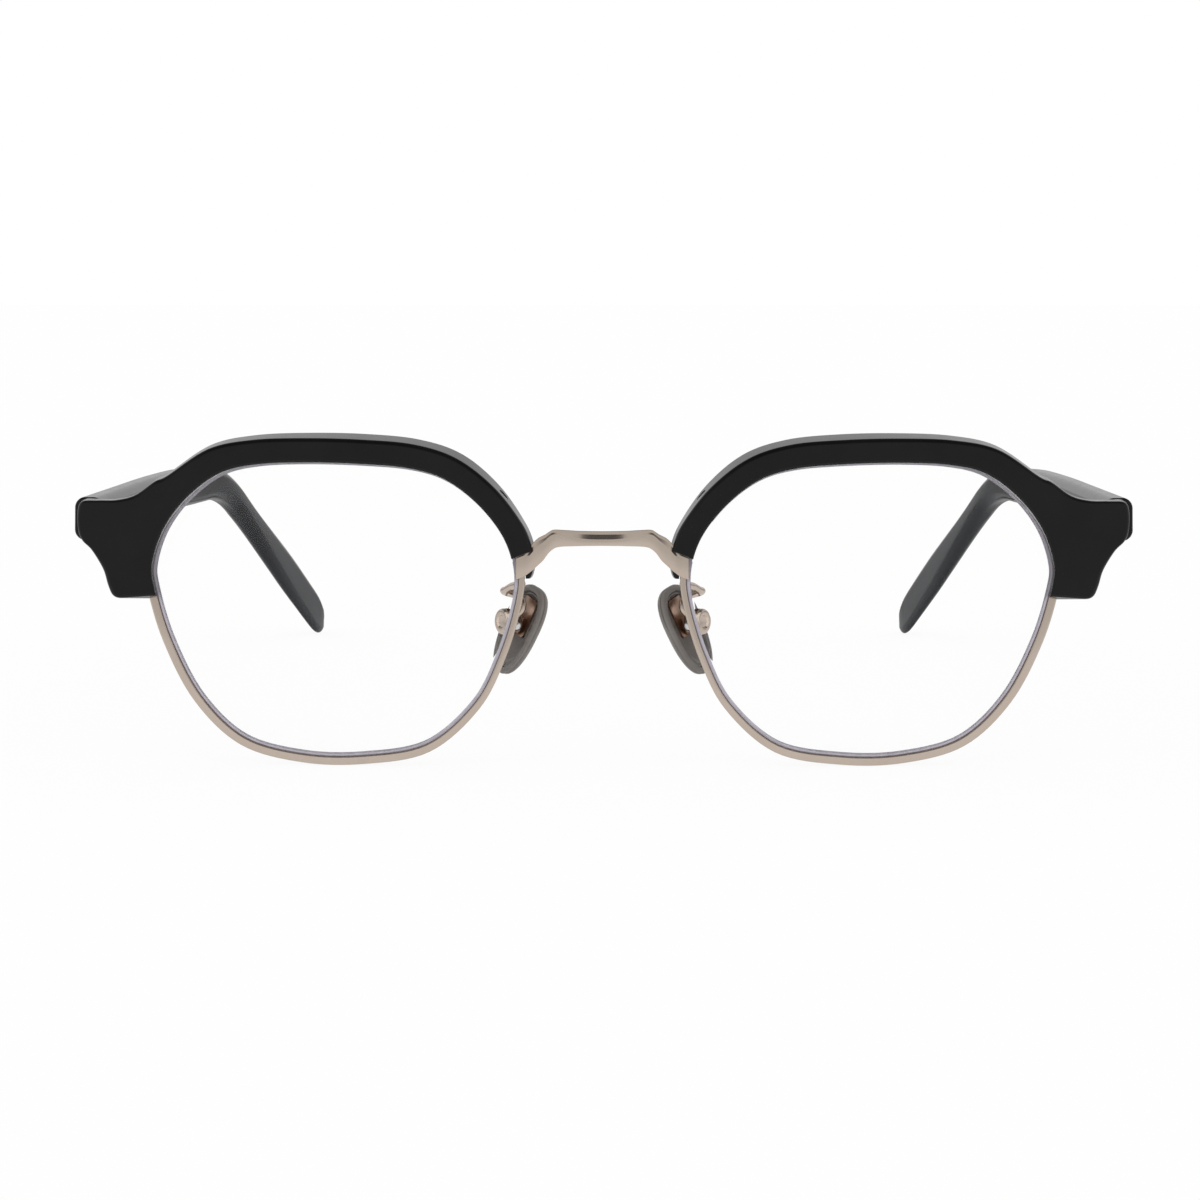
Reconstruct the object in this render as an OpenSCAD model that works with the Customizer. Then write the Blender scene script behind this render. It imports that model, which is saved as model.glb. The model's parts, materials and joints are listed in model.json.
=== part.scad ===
// Combination spectacles: metal rims and bridge, acetate brow bars and temples.
// The front faces -Y, the temples run to +Y, and the spectacles stand on a table
// on the bottoms of the rims and the temple tips. Millimetres.

/* [Lenses] */
// Width of each lens, measured as its box
lens_w = 47; // [42:1:56]
// Height of each lens, measured as its box
lens_h = 38; // [34:1:46]
// Thickness of each lens
lens_t = 2; // [1.2:0.1:2.4]
// Radius of the lens curve
base_r = 140; // [100:5:250]

/* [Front] */
// Gap between the two lenses
bridge_gap = 21; // [18:1:25]
// Angle that each half of the front wraps back
wrap = 4; // [0:0.5:7]
// Angle that the front leans back when the spectacles stand on a table
lean = 5; // [1:0.2:8]

/* [Rims] */
// Depth of the rim wire, front to back
rim_d = 2.4; // [1.8:0.1:2.8]
// Rim wall outside the lens edge
rim_wall = 0.55; // [0.4:0.05:0.9]
// Depth of the lens groove
groove_d = 0.5; // [0.3:0.05:0.7]
// Width of the lens groove
groove_w = 1.2; // [0.8:0.1:1.4]
// Gap at the rim lock before its screw is tightened
rim_gap = 0.1; // [0.05:0.05:0.5]

/* [Brow bars] */
// Height of the bar beyond the lens edge
brow_w = 2.3; // [2:0.1:3.2]
// How far the bar stands in front of the lens edge
brow_front = 2.8; // [2.2:0.1:3.4]
// How far the bar reaches behind the lens edge
brow_back = 2.2; // [1.9:0.1:2.8]
// Radius of the bar's front outer edge
brow_round = 0.75; // [0.3:0.05:1]
// How far the bar's inner lip covers the rim's opening
brow_lip = 0.2; // [0:0.05:0.4]
// Reach of the outer lobe beyond the lens
lobe_reach = 9.05; // [8:0.05:12]
// How far the bar's outer wall slants outwards, from front to back
brow_flare = 0.7; // [0:0.05:1]

/* [Bridge] */
// Thickness of the bridge plate
bridge_t = 0.85; // [0.6:0.05:1.2]
// Height of the bridge bar
bar_h = 2; // [1.5:0.1:2.6]
// Extra depth of the bar in front of the plate
bar_step = 0.45; // [0.2:0.05:0.8]

/* [Temples] */
// Length of a temple from its hinge to the end of its tip
temple_len = 145; // [125:1:155]
// Length of the tip, behind the bend
tip_len = 47; // [40:1:56]
// Angle that the tip drops by
tip_drop = 32; // [20:0.5:40]
// Height of a temple at its front end
temple_h = 5.5; // [4.8:0.1:6.5]
// Thickness of a temple at its front end
temple_t = 3.8; // [3:0.1:5]
// Angle that a temple runs inwards by
toe_in = 1.7; // [1:0.1:6]
// How far the tip curves inwards
tip_in = 14.6; // [4:0.5:15]
// Width of the metal core of a temple
core_w = 2.4; // [1.6:0.1:2.8]
// Thickness of the metal core of a temple
core_t = 1.1; // [0.8:0.1:1.4]

/* [Hinges] */
// Height of the hinge centre above the lens centre
hinge_v = 10.9; // [9:0.1:12]
// Diameter of the hinge barrels
barrel_d = 2.6; // [2.2:0.1:3]
// Height of all five barrels together
hinge_h = 4.2; // [4:0.1:5]
// Diameter of the hinge screw
hinge_screw_d = 1.4; // [1:0.1:1.6]

/* [Nose pads] */
// Length of a nose pad
pad_len = 12.2; // [11:0.1:15]
// Width of a nose pad
pad_w = 7; // [6:0.1:8]
// Thickness of a nose pad
pad_t = 1.7; // [1.5:0.1:2.6]
// Angle between a pad and the nose's own plane
pad_splay = 35; // [25:1:40]
// Distance of a pad's screw from the middle of the spectacles
pad_x = 11.7; // [11:0.1:13.5]
// Diameter of the pad arm wire
arm_d = 0.95; // [0.8:0.05:1.2]

/* [Hidden] */

// ---- clearances and small fixed sizes ----
fit = 0.03;          // between parts that are pressed or clamped together
seat = 0.05;         // round a part that lies in a pocket
running = 0.05;      // round a shaft that something turns on
joint_gap = 0.12;    // between the brow lobe and the temple's front end
round_fn = 40;       // segments of the small round parts
slot_w = 0.3;        // width of the driver slots in the screws
slot_deep = 0.25;    // depth of the driver slots
tiny = 0.01;

// ---- outline of a lens: shares of its half width and half height ----
// It starts at the temple side and runs over the top.
LENS_SHAPE = [
  [0.985, 0.14], [0.995, 0.315], [0.93, 0.55], [0.80, 0.76], [0.62, 0.923],
  [0.42, 0.985], [0.15, 1], [-0.15, 0.99], [-0.42, 0.96], [-0.62, 0.882],
  [-0.80, 0.713], [-0.94, 0.487], [-0.998, 0.25], [-0.98, 0.015], [-0.90, -0.31],
  [-0.765, -0.635], [-0.507, -0.913], [-0.167, -0.992], [0.165, -0.983], [0.488, -0.873],
  [0.731, -0.592], [0.897, -0.208],
];
LENS_KNOTS = [for (k = LENS_SHAPE) [k[0] * lens_w / 2, k[1] * lens_h / 2]];
laps = len(LENS_KNOTS);
steps = 3;           // samples from one knot to the next

eye_x = (bridge_gap + lens_w) / 2;

// ---- curves ----
function blend4(a, b, c, d, t) =
  0.5 * (2 * b + (c - a) * t + (2 * a - 5 * b + 4 * c - d) * t * t + (3 * b - a - 3 * c + d) * t * t * t);
function knot(p) = LENS_KNOTS[(p + 4 * laps) % laps];
function lens_at(p) =
  let (i = floor(p), t = p - i)
  blend4(knot(i - 1), knot(i), knot(i + 1), knot(i + 2), t);
function unit(v) = v / norm(v);
function lens_along(p) = unit(lens_at(p + 0.04) - lens_at(p - 0.04));
function lens_out(p) = let (d = lens_along(p)) [d[1], -d[0]];
function edge_at(p, r) = lens_at(p) + lens_out(p) * r;
// A smooth open curve through rows of numbers, at row position t.
function row(list, i) = list[max(0, min(len(list) - 1, i))];
function along(list, t) =
  let (i = min(floor(t), len(list) - 2), f = t - i)
  blend4(row(list, i - 1), row(list, i), row(list, i + 1), row(list, i + 2), f);
function spread(list, n) = [for (i = [0 : (len(list) - 1) * n]) along(list, i / n)];

// ---- the lens curve: depth of the sphere, straight on beyond the lens ----
function sag(q) =
  let (r = norm(q), e = lens_w / 2, root = sqrt(base_r * base_r - e * e))
  r <= e ? base_r - sqrt(base_r * base_r - r * r) : base_r - root + (r - e) * e / root;
// A point n behind the lens edge, square to the lens curve.
function bent(q, n) =
  let (k = 1 - n / base_r)
  [q[0] * k, sag(q) * k + n, q[1] * k];
// A point n behind the lens edge, straight back, as the brow bars are milled.
mill_k = 1 + rim_d / 2 / base_r;
function milled(q, n) = [q[0] * mill_k, sag(q) + n, q[1] * mill_k];

// ---- places in the world ----
function turn_z(p, a) = [p[0] * cos(a) - p[1] * sin(a), p[0] * sin(a) + p[1] * cos(a), p[2]];
function turn_x(p, a) = [p[0], p[1] * cos(a) - p[2] * sin(a), p[1] * sin(a) + p[2] * cos(a)];
function leant(p) = turn_x(turn_z(p, wrap) + [eye_x, 0, 0], -lean);

rim_soft = 0.15;     // broken edges of the rim wire
rim_outside = [
  for (n = [-1, 1]) each [[rim_wall - rim_soft, n * rim_d / 2], [rim_wall, n * (rim_d / 2 - rim_soft)]],
];
rim_skirt = [for (i = [0 : laps * steps - 1], s = rim_outside) leant(bent(edge_at(i / steps, s[0]), s[1]))];
eye_z = -min([for (q = rim_skirt) q[2]]);

// ---- hinge and temple layout ----
hinge_back = brow_back + 0.3 + barrel_d / 2;
hinge_u = lens_w / 2 + lobe_reach - 3.75;
hinge_leant = leant(milled([hinge_u, hinge_v], hinge_back));
tip_r = 3.4;
tip_run = tip_len - tip_r;
bend_s = temple_len - tip_len;
path_a = bend_s + tip_run * cos(tip_drop);
path_b = tip_run * sin(tip_drop);
pitch = asin((hinge_leant[2] + eye_z - tip_r) / norm([path_a, path_b])) - atan2(path_b, path_a);
rear_y = hinge_leant[1] + bend_s * cos(pitch) + tip_run * cos(pitch + tip_drop) + tip_r;
module front_frame() translate([0, front_y, eye_z]) rotate([-lean, 0, 0]) children();
module eye_frame() front_frame() translate([eye_x, 0, 0]) rotate([0, 0, wrap]) children();
module temple_frame() translate(HINGE) rotate([-pitch, 0, 0]) children();
// At place p on the lens edge: x points outwards, y back and z along the edge.
module on_edge(p) {
  q = lens_at(p);
  eye_frame() translate(milled(q, 0)) rotate([0, -atan2(lens_out(p)[1], lens_out(p)[0]), 0]) children();
}

// ---- solids from rings of points ----
function ring_faces(rings, pts) = [
  for (i = [0 : rings - 2], j = [0 : pts - 1])
    let (a = i * pts, b = a + pts, k = (j + 1) % pts)
    each [[a + j, a + k, b + k], [a + j, b + k, b + j]]
];
module skin(rings) {
  n = len(rings[0]);
  ends = [
    [for (j = [n : -1 : 1]) j % n],
    [for (j = [0 : n - 1]) (len(rings) - 1) * n + j],
  ];
  polyhedron(
    points = [for (r = rings) each r],
    faces = concat(ring_faces(len(rings), n), ends),
    convexity = 6
  );
}
function reversed(list) = [for (i = [len(list) - 1 : -1 : 0]) list[i]];
// Twelve points of a rectangle with rounded corners.
function rounded(a, b, r) =
  let (k = r * 0.29)
  [
    [a, b - r], [a - k, b - k], [a - r, b], [r - a, b], [k - a, b - k], [-a, b - r],
    [-a, r - b], [k - a, k - b], [r - a, -b], [a - r, -b], [a - k, k - b], [a, r - b],
  ];
// Frames that follow a path without twisting.
function path_dir(path, i) = unit(row(path, i + 1) - row(path, i - 1));
function carry(path, i, up) =
  i >= len(path) ? [] :
  let (d = path_dir(path, i), u = unit(up - d * (up * d)))
  concat([[u, cross(d, u)]], carry(path, i + 1, u));
module tube(path, d, sides, up) {
  frames = carry(path, 0, up);
  skin([for (i = [0 : len(path) - 1]) [for (j = [0 : sides - 1])
    path[i] + d / 2 * (cos(360 * j / sides) * frames[i][0] - sin(360 * j / sides) * frames[i][1])]]);
}

// ---- lenses ----
module lens() {
  edge = -(groove_d + seat);
  bevel = groove_w / 2 - seat;
  half = lens_t / 2;
  // Share of the outline, offset from the lens edge, place front to back.
  layers = [
    [0.15, edge, -half], [0.55, edge, -half], [1, edge, -half], [1, edge, -bevel],
    [1, -fit, 0],
    [1, edge, bevel], [1, edge, half], [0.55, edge, half], [0.15, edge, half],
  ];
  color([0.9, 0.92, 0.96, 0.35]) eye_frame()
    skin([for (l = layers) [for (i = [0 : laps * steps - 1]) bent(edge_at(i / steps, l[1]) * l[0], l[2])]]);
}

// ---- rims ----
lock_p = 1;
gap_p = rim_gap / 2 / norm(lens_at(lock_p + 0.5) - lens_at(lock_p - 0.5));
RIM_P = [for (i = [0 : laps * steps])
  lock_p + (i == 0 ? gap_p : i == laps * steps ? laps - gap_p : i / steps)];
function rim_section() = [
  [0, 0], [-groove_d, groove_w / 2], [-groove_d, rim_d / 2],
  [rim_wall - rim_soft, rim_d / 2], [rim_wall, rim_d / 2 - rim_soft],
  [rim_wall, rim_soft - rim_d / 2], [rim_wall - rim_soft, -rim_d / 2],
  [-groove_d, -rim_d / 2], [-groove_d, -groove_w / 2],
];
module rim() {
  color([0.78, 0.69, 0.62]) eye_frame()
    skin([for (p = RIM_P) [for (s = rim_section()) bent(edge_at(p, s[0]), s[1])]]);
}

// ---- rim locks: two blocks on the rim's open ends, and their screw ----
lock_w = 2.2;
lock_up_p = lock_p + 2 / steps;
lock_low_p = lock_p - 2 / steps;
lock_front = rim_d / 2 - 0.1;
lock_screw_d = 1.2;
lock_r = rim_wall + lock_w / 2;
lock_section = [
  [rim_wall, -lock_front], [rim_wall, rim_d / 2 - rim_soft],
  [rim_wall + lock_w, rim_d / 2 - rim_soft], [rim_wall + lock_w, -lock_front],
];
module lock_block(rows) {
  skin([for (p = rows) [for (s = lock_section) bent(edge_at(p, s[0]), s[1])]]);
}
// A cylinder along y from one depth to another.
module rod_y(d, from, to) {
  translate([0, from, 0]) rotate([-90, 0, 0]) cylinder(d = d, h = to - from, $fn = round_fn);
}
lock_spot = lens_at(lock_p);
module rim_lock_screw_place() {
  eye_frame() translate([lock_spot[0] + lock_r, sag(lock_spot), lock_spot[1]]) children();
}
lock_screw_head = 0.6;
lock_screw_head_d = 1.7;
lock_screw_up = 2.2;
lock_low_end = lens_at(lock_low_p)[1] - lock_spot[1];
module rim_lock_upper() {
  color([0.74, 0.66, 0.6]) difference() {
    eye_frame() lock_block([lock_p + gap_p, lock_p + 1 / steps, lock_up_p]);
    rim_lock_screw_place() cylinder(d = lock_screw_d + fit, h = lock_screw_up + seat, $fn = round_fn);
  }
}
module rim_lock_lower() {
  color([0.74, 0.66, 0.6]) difference() {
    eye_frame() lock_block([lock_low_p, lock_p - 1 / steps, lock_p - gap_p]);
    rim_lock_screw_place() {
      translate([0, 0, -4]) cylinder(d = lock_screw_d + 2 * seat, h = 5, $fn = round_fn);
      translate([0, 0, lock_low_end - 2])
        cylinder(d = lock_screw_head_d + 2 * seat, h = 2 + lock_screw_head, $fn = round_fn);
    }
  }
}
module rim_lock_screw() {
  color([0.8, 0.8, 0.82]) rim_lock_screw_place() {
    head_low = lock_low_end + 0.05;
    difference() {
      translate([0, 0, head_low]) cylinder(d = lock_screw_head_d, h = lock_screw_head - seat, $fn = round_fn);
      translate([-1, -slot_w / 2, head_low - 1]) cube([2, slot_w, 1 + slot_deep]);
    }
    translate([0, 0, head_low + slot_deep])
      cylinder(d = lock_screw_d, h = lock_screw_up - head_low - slot_deep, $fn = round_fn);
  }
}

// ---- brow bars ----
rabbet = rim_wall + seat;
pocket = rim_wall + lock_w + 0.1;
screw_p = 10.2;      // place of the brow screw on the lens edge
end_p = 11.62;       // where the bar's face ends, against the bridge
inner_soft = 0.35;
back_soft = 0.5;
// The outer lobe: place on the lens edge, share of the reach, height from the
// hinge, and share of the flare.
LOBE = [
  [-0.22, 0.415, -9.63, 0], [-0.1, 0.5, -9.1, 0], [0.08, 0.56, -7.9, 0.1], [0.3, 0.63, -5.9, 0.4],
  [0.55, 0.79, -3.6, 0.9], [0.75, 0.93, -2.35, 1.2], [0.9, 0.99, -1, 1.3], [1.15, 1, 1.4, 1.3],
  [1.35, 0.935, 2.55, 1.1], [1.55, 0.71, 2.7, 0.6], [1.72, 0.435, 2.75, 0.6], [2, 0.17, 3.35, 0.8],
  [2.4, -0.1, 5, 1],
];
// The bar: place on the lens edge, share of its height, shift back along the
// edge, and share of the flare.
BAR = [
  [3, 1.33, 0, 1], [4, 1.17, 0, 1], [5, 1.04, 0, 1], [6, 1, 0, 1], [7, 1, 0, 0.95], [8, 1, 0, 0.8],
  [9, 0.98, 0, 0.5], [10, 0.96, 0, 0.2], [11, 0.96, 0.4, 0], [end_p, 0.96, 0.95, 0],
];
BROW_ROWS = concat(
  [for (l = LOBE) [l[0], lens_w / 2 + lobe_reach * l[1], hinge_v + l[2], brow_flare * l[3]]],
  [
    for (b = BAR)
      let (q = edge_at(b[0], brow_w * b[1]) - lens_along(b[0]) * b[2])
      [b[0], q[0], q[1], brow_flare * b[3]],
  ]
);
lock_from = 3;       // rows between which the lobe is hollow for the rim lock
lock_to = 10;
last_row = len(BROW_ROWS) - 1;
BROW_T = concat(
  [0, 0.25, 0.5, 1, 1.5, 2, 2.5, lock_from, lock_from + tiny],
  [for (t = [3.5 : 0.5 : 9.5]) t],
  [lock_to - tiny, lock_to, 10.5, 11, 11.5, 12, 12.5],
  [for (t = [13 : 1 / 3 : last_row]) t]
);
function brow_ring(t) =
  let (
    r = along(BROW_ROWS, t), p = r[0], out = [r[1], r[2]],
    inn = edge_at(p, -groove_d - brow_lip),
    rab = edge_at(p, t > lock_from && t < lock_to ? pocket : rabbet),
    e = unit(out - inn), far = out + e * r[3],
    less = t < 0.6 ? 0.5 * pow(1 - t / 0.6, 2) : 0,
    front = brow_front - less, back = brow_back - less, flange = rim_d / 2 + fit
  )
  [
    milled(rab, -flange), milled(inn, -flange), milled(inn, inner_soft - front),
    milled(inn + e * inner_soft * 0.29, inner_soft * 0.29 - front), milled(inn + e * inner_soft, -front),
    milled(out - e * (brow_round + less), -front),
    milled(out - e * (brow_round * 0.29 + less), brow_round * 0.29 - front),
    milled(out - e * less, brow_round - front),
    milled(far - e * less, back - back_soft),
    milled(far - e * (back_soft * 0.29 + less), back - back_soft * 0.29),
    milled(far - e * (back_soft + less), back),
    milled(rab + e * 0.2, back), milled(rab, back - 0.2),
  ];

// ---- the front's place, so that the box is centred from front to back ----
brow_skirt = [for (t = BROW_T) each [for (k = brow_ring(t)) leant(k)]];
front_low = min([for (q = concat(rim_skirt, brow_skirt)) q[1]]);
front_y = -(rear_y + front_low) / 2;
HINGE = hinge_leant + [0, front_y, eye_z];
// From the world to the temple's own frame.
function in_temple(p) = turn_x(p - HINGE, pitch);

// The tongue that runs on behind the bridge plate.
tongue_face = -(rim_d / 2 - 0.12);
function tongue_ring(p, w, back, shift) =
  let (s = -lens_along(p) * shift)
  [for (q = [
    [rabbet, tongue_face + 0.7], [rabbet + 0.02, tongue_face + 0.5], [rabbet + 0.06, tongue_face + 0.3],
    [rabbet + 0.12, tongue_face + 0.13], [rabbet + 0.25, tongue_face],
    [w - 0.4, tongue_face], [w - 0.12, tongue_face + 0.12], [w, tongue_face + 0.45],
    [w, back - 0.5], [w - 0.15, back - 0.15], [w - 0.5, back],
    [rabbet + 0.2, back], [rabbet, back - 0.2],
  ]) milled(edge_at(p, q[0]) + s * (q[0] - rabbet) / brow_w, q[1])];
module brow_skin() {
  skin(reversed(concat(
    [for (t = BROW_T) brow_ring(t)],
    [
      tongue_ring(end_p + tiny, brow_w * 0.96, brow_back - 0.1, 0.95),
      tongue_ring(end_p + 0.2, brow_w * 0.93, brow_back - 0.3, 0.7),
      tongue_ring(end_p + 0.42, brow_w * 0.85, brow_back - 0.6, 0.3),
      tongue_ring(end_p + 0.52, brow_w * 0.7, brow_back - 0.9, 0),
      tongue_ring(end_p + 0.56, brow_w * 0.55, brow_back - 1.2, 0),
    ]
  )));
}
brow_screw_d = 1;
brow_screw_head_d = 1.5;
brow_screw_head = 0.5;
brow_web = 0.5;      // acetate under the screw's head
lug_w = 0.7;
lug_l = 2.4;
brow_screw_seat = rim_wall + lug_w + seat + brow_web;
endpiece_screw_d = 1.2;
endpiece_screw_in = 2.6;
module brow() {
  color([0.1, 0.1, 0.1]) difference() {
    eye_frame() brow_skin();
    on_edge(screw_p) {
      translate([0, -rim_d, -lug_l / 2 - seat])
        cube([rim_wall + lug_w + seat, rim_d * 1.5 + seat, lug_l + 2 * seat]);
      rotate([0, 90, 0]) cylinder(d = brow_screw_d + 2 * seat, h = 4, $fn = round_fn);
      translate([brow_screw_seat, 0, 0]) rotate([0, 90, 0])
        cylinder(d = brow_screw_head_d + 2 * seat, h = 4, $fn = round_fn);
    }
    endpiece_screw_place() rod_y(endpiece_screw_d + fit, -endpiece_screw_in - seat, 1);
  }
}
module brow_lug() {
  color([0.74, 0.66, 0.6]) difference() {
    on_edge(screw_p) translate([rim_wall + fit, 0.2 - rim_d / 2, -lug_l / 2])
      cube([lug_w, rim_d - 0.4, lug_l]);
    on_edge(screw_p) rotate([0, 90, 0]) cylinder(d = brow_screw_d + fit, h = 4, $fn = round_fn);
  }
}
module brow_screw() {
  color([0.8, 0.8, 0.82]) on_edge(screw_p) rotate([0, 90, 0]) {
    translate([0, 0, rim_wall + 0.15])
      cylinder(d = brow_screw_d, h = brow_screw_seat - rim_wall, $fn = round_fn);
    difference() {
      translate([0, 0, brow_screw_seat + 0.02])
        cylinder(d = brow_screw_head_d, h = brow_screw_head, $fn = round_fn);
      translate([-2, -slot_w / 2, brow_screw_seat + brow_screw_head - slot_deep]) cube([4, slot_w, 1]);
    }
  }
}

// ---- endpieces: brackets from the rim locks to the hinges ----
function plate_row(u, low, high, front, back) = [
  [u, sag([u, low]) + front, low], [u, sag([u, low]) + back, low],
  [u, sag([u, high]) + back, high], [u, sag([u, high]) + front, high],
];
plate_front = brow_back + 0.12;
plate_back = hinge_back - 0.3;
plate_end = hinge_u - barrel_d / 2 - 0.2;
foot_front = rim_d / 2 - 0.12;   // front of the foot that is brazed to the upper lock
endpiece_rows = [
  plate_row(lock_spot[0] + rim_wall + 0.1, lock_spot[1] + 0.3, lock_spot[1] + 2.6, foot_front, plate_back),
  plate_row(lock_spot[0] + 2.05, lock_spot[1] + 0.3, lock_spot[1] + 2.6, foot_front, plate_back),
  plate_row(lock_spot[0] + 2.1, lock_spot[1] + 0.35, lock_spot[1] + 2.7, plate_front, plate_back),
  plate_row(plate_end, hinge_v - hinge_h / 2 + 0.1, hinge_v + hinge_h / 2 - 0.1, plate_front, plate_back),
];
// The screw goes midway between lock and hinge, clear of the upper lock's corner.
lock_corner = edge_at(lock_up_p - 1 / steps, rim_wall + lock_w);
screw_up = (lock_spot[1] + hinge_v) / 2 + 0.5;
screw_past = sqrt(max(0, pow(endpiece_screw_d / 2 + seat, 2) - pow(screw_up - lock_corner[1], 2)));
endpiece_screw_at = [max((lock_spot[0] + 2.1 + plate_end) / 2 - 0.2, lock_corner[0] + screw_past), screw_up];
module endpiece_screw_place() {
  at = endpiece_screw_at;
  eye_frame() translate([at[0], sag(at) + brow_back, at[1]]) children();
}
barrel_h = hinge_h / 5;
play = 0.03;         // between one barrel and the next
module barrels(which) {
  for (k = which)
    translate([0, 0, -hinge_h / 2 + k * barrel_h + play])
      cylinder(d = barrel_d, h = barrel_h - 2 * play, $fn = round_fn);
}
front_web = barrel_d / 2 + 0.45;
module endpiece() {
  color([0.74, 0.66, 0.6]) difference() {
    union() {
      eye_frame() skin(reversed(endpiece_rows));
      temple_frame() {
        barrels([0, 2, 4]);
        for (k = [0, 2, 4])
          translate([-front_web, -barrel_d / 2, -hinge_h / 2 + k * barrel_h + play])
            cube([front_web, barrel_d / 2 - 0.25, barrel_h - 2 * play]);
      }
    }
    temple_frame() cylinder(d = hinge_screw_d + fit, h = hinge_h + 2, center = true, $fn = round_fn);
    endpiece_screw_place() rod_y(endpiece_screw_d + 2 * seat, -1, 4);
  }
}
module endpiece_screw() {
  color([0.8, 0.8, 0.82]) endpiece_screw_place() {
    seat_y = plate_back - brow_back + 0.14;
    rod_y(endpiece_screw_d, -endpiece_screw_in, seat_y + 0.1);
    difference() {
      rod_y(1.9, seat_y + 0.02, seat_y + 0.45);
      translate([-2, seat_y + 0.45 - slot_deep, -slot_w / 2]) cube([4, 1, slot_w]);
    }
  }
}
hinge_head = 0.45;
module hinge_screw() {
  color([0.8, 0.8, 0.82]) temple_frame() {
    translate([0, 0, -hinge_h / 2]) cylinder(d = hinge_screw_d, h = hinge_h + 0.1, $fn = round_fn);
    difference() {
      translate([0, 0, hinge_h / 2]) cylinder(d = 2.2, h = hinge_head, $fn = round_fn);
      translate([-2, -slot_w / 2, hinge_h / 2 + hinge_head - slot_deep]) cube([4, slot_w, 1]);
    }
  }
}

// ---- temples ----
bend_r = 23;
bend_half = bend_r * tan(tip_drop / 2);
arm_x = barrel_d / 2 + 0.2 + temple_t / 2;
function drop_at(s) = tip_drop * max(0, min(1, (s - bend_s + bend_half) / (2 * bend_half)));
function spine(s) =
  let (a = drop_at(s))
  s <= bend_s - bend_half ? [s, 0] :
  s >= bend_s + bend_half ? [bend_s, 0] + (s - bend_s) * [cos(tip_drop), -sin(tip_drop)] :
  [bend_s - bend_half, -bend_r] + bend_r * [sin(a), cos(a)];
// The inward curve of the tip: it starts softly before the bend.
function ease(s) = let (u = max(0, s - bend_s + 15)) u * u / (u + 5);
function curl(s) = tip_in * pow(ease(s) / ease(temple_len), 0.85);
// A section of the temple: rounded box of size w by h, moved sideways and up.
function section(s, w, h, r, off, up = 0) =
  let (c = spine(s), a = drop_at(s), x = arm_x - tan(toe_in) * s - curl(s) + off)
  [for (q = rounded(w / 2, h / 2, min(r, w * 0.49, h * 0.49)))
    [x + q[0], c[0] + (q[1] + up) * sin(a), c[1] + (q[1] + up) * cos(a)]];
tip_share = 0.42;    // thickness of the tip's end, as a share of the front end's
// Rows: distance from the hinge, height, thickness, lift above the hinge's level.
TEMPLE_ROWS = [
  [0, temple_h, temple_t, 0.45],
  [9, temple_h * 1.02, temple_t * 0.98, 0.4],
  [28, temple_h * 1.04, temple_t * 0.95, 0.35],
  [bend_s * 0.47, temple_h * 1.05, temple_t * 0.94, 0.32],
  [bend_s - 36, temple_h * 1.05, temple_t * 0.95, 0.18],
  [bend_s - 18, temple_h * 1.02, temple_t, 0],
  [bend_s - 5, temple_h * 0.9, temple_t * 1.03, 0],
  [bend_s + 6, temple_h * 0.79, temple_t, 0],
  [bend_s + 14, temple_h * 0.88, temple_t * 0.86, 0.1],
  [temple_len - 18, temple_h * 1.24, temple_t * 0.63, 0.1],
  [temple_len - tip_r, 2 * tip_r, temple_t * tip_share, 0],
];
temple_round = 1.25;
// The temple's front end lies along the lobe's back.
function lobe_spot(u, v) = in_temple(leant(milled([u, v], brow_back)) + [0, front_y, eye_z]);
lobe_a = lobe_spot(hinge_u + 1.5, hinge_v);
lobe_n = cross(lobe_spot(hinge_u + 4.5, hinge_v) - lobe_a, lobe_spot(hinge_u + 3, hinge_v + 2.5) - lobe_a);
function on_lobe(q) =
  let (across = lobe_n[0] * (q[0] - lobe_a[0]) + lobe_n[2] * (q[2] - lobe_a[2]))
  [q[0], lobe_a[1] + joint_gap - across / lobe_n[1], q[2]];
function temple_ring(t) = let (r = along(TEMPLE_ROWS, t)) section(r[0], r[2], r[1], temple_round, 0, r[3]);
tip_ends = [85, 62, 38, 16];
function tip_ring(a) = section(
  temple_len - tip_r + tip_r * sin(a),
  temple_t * tip_share * pow(cos(a), 0.6), 2 * tip_r * cos(a),
  temple_round, 0
);
core_end = bend_s + tip_len * 0.55;
core_off = 0.1;
CORE_ROWS = [
  [0.4, core_t, core_w], [25, core_t, core_w], [50, core_t, core_w],
  [bend_s - bend_half, core_t * 0.95, core_w * 0.9],
  [bend_s - bend_half / 2, core_t * 0.92, core_w * 0.85],
  [bend_s, core_t * 0.9, core_w * 0.8],
  [bend_s + bend_half / 2, core_t * 0.85, core_w * 0.75],
  [bend_s + bend_half, core_t * 0.8, core_w * 0.7],
  [core_end, core_t * 0.7, core_w * 0.55],
];
function core_ring(r, more) =
  section(r[0] + (r[0] == core_end ? more : 0), r[1] + 2 * more, r[2] + 2 * more, 0.4, core_off);
leaf_l = 9;
leaf_h = 3.4;
leaf_t = 1;
leaf_front = -0.6;
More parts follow.
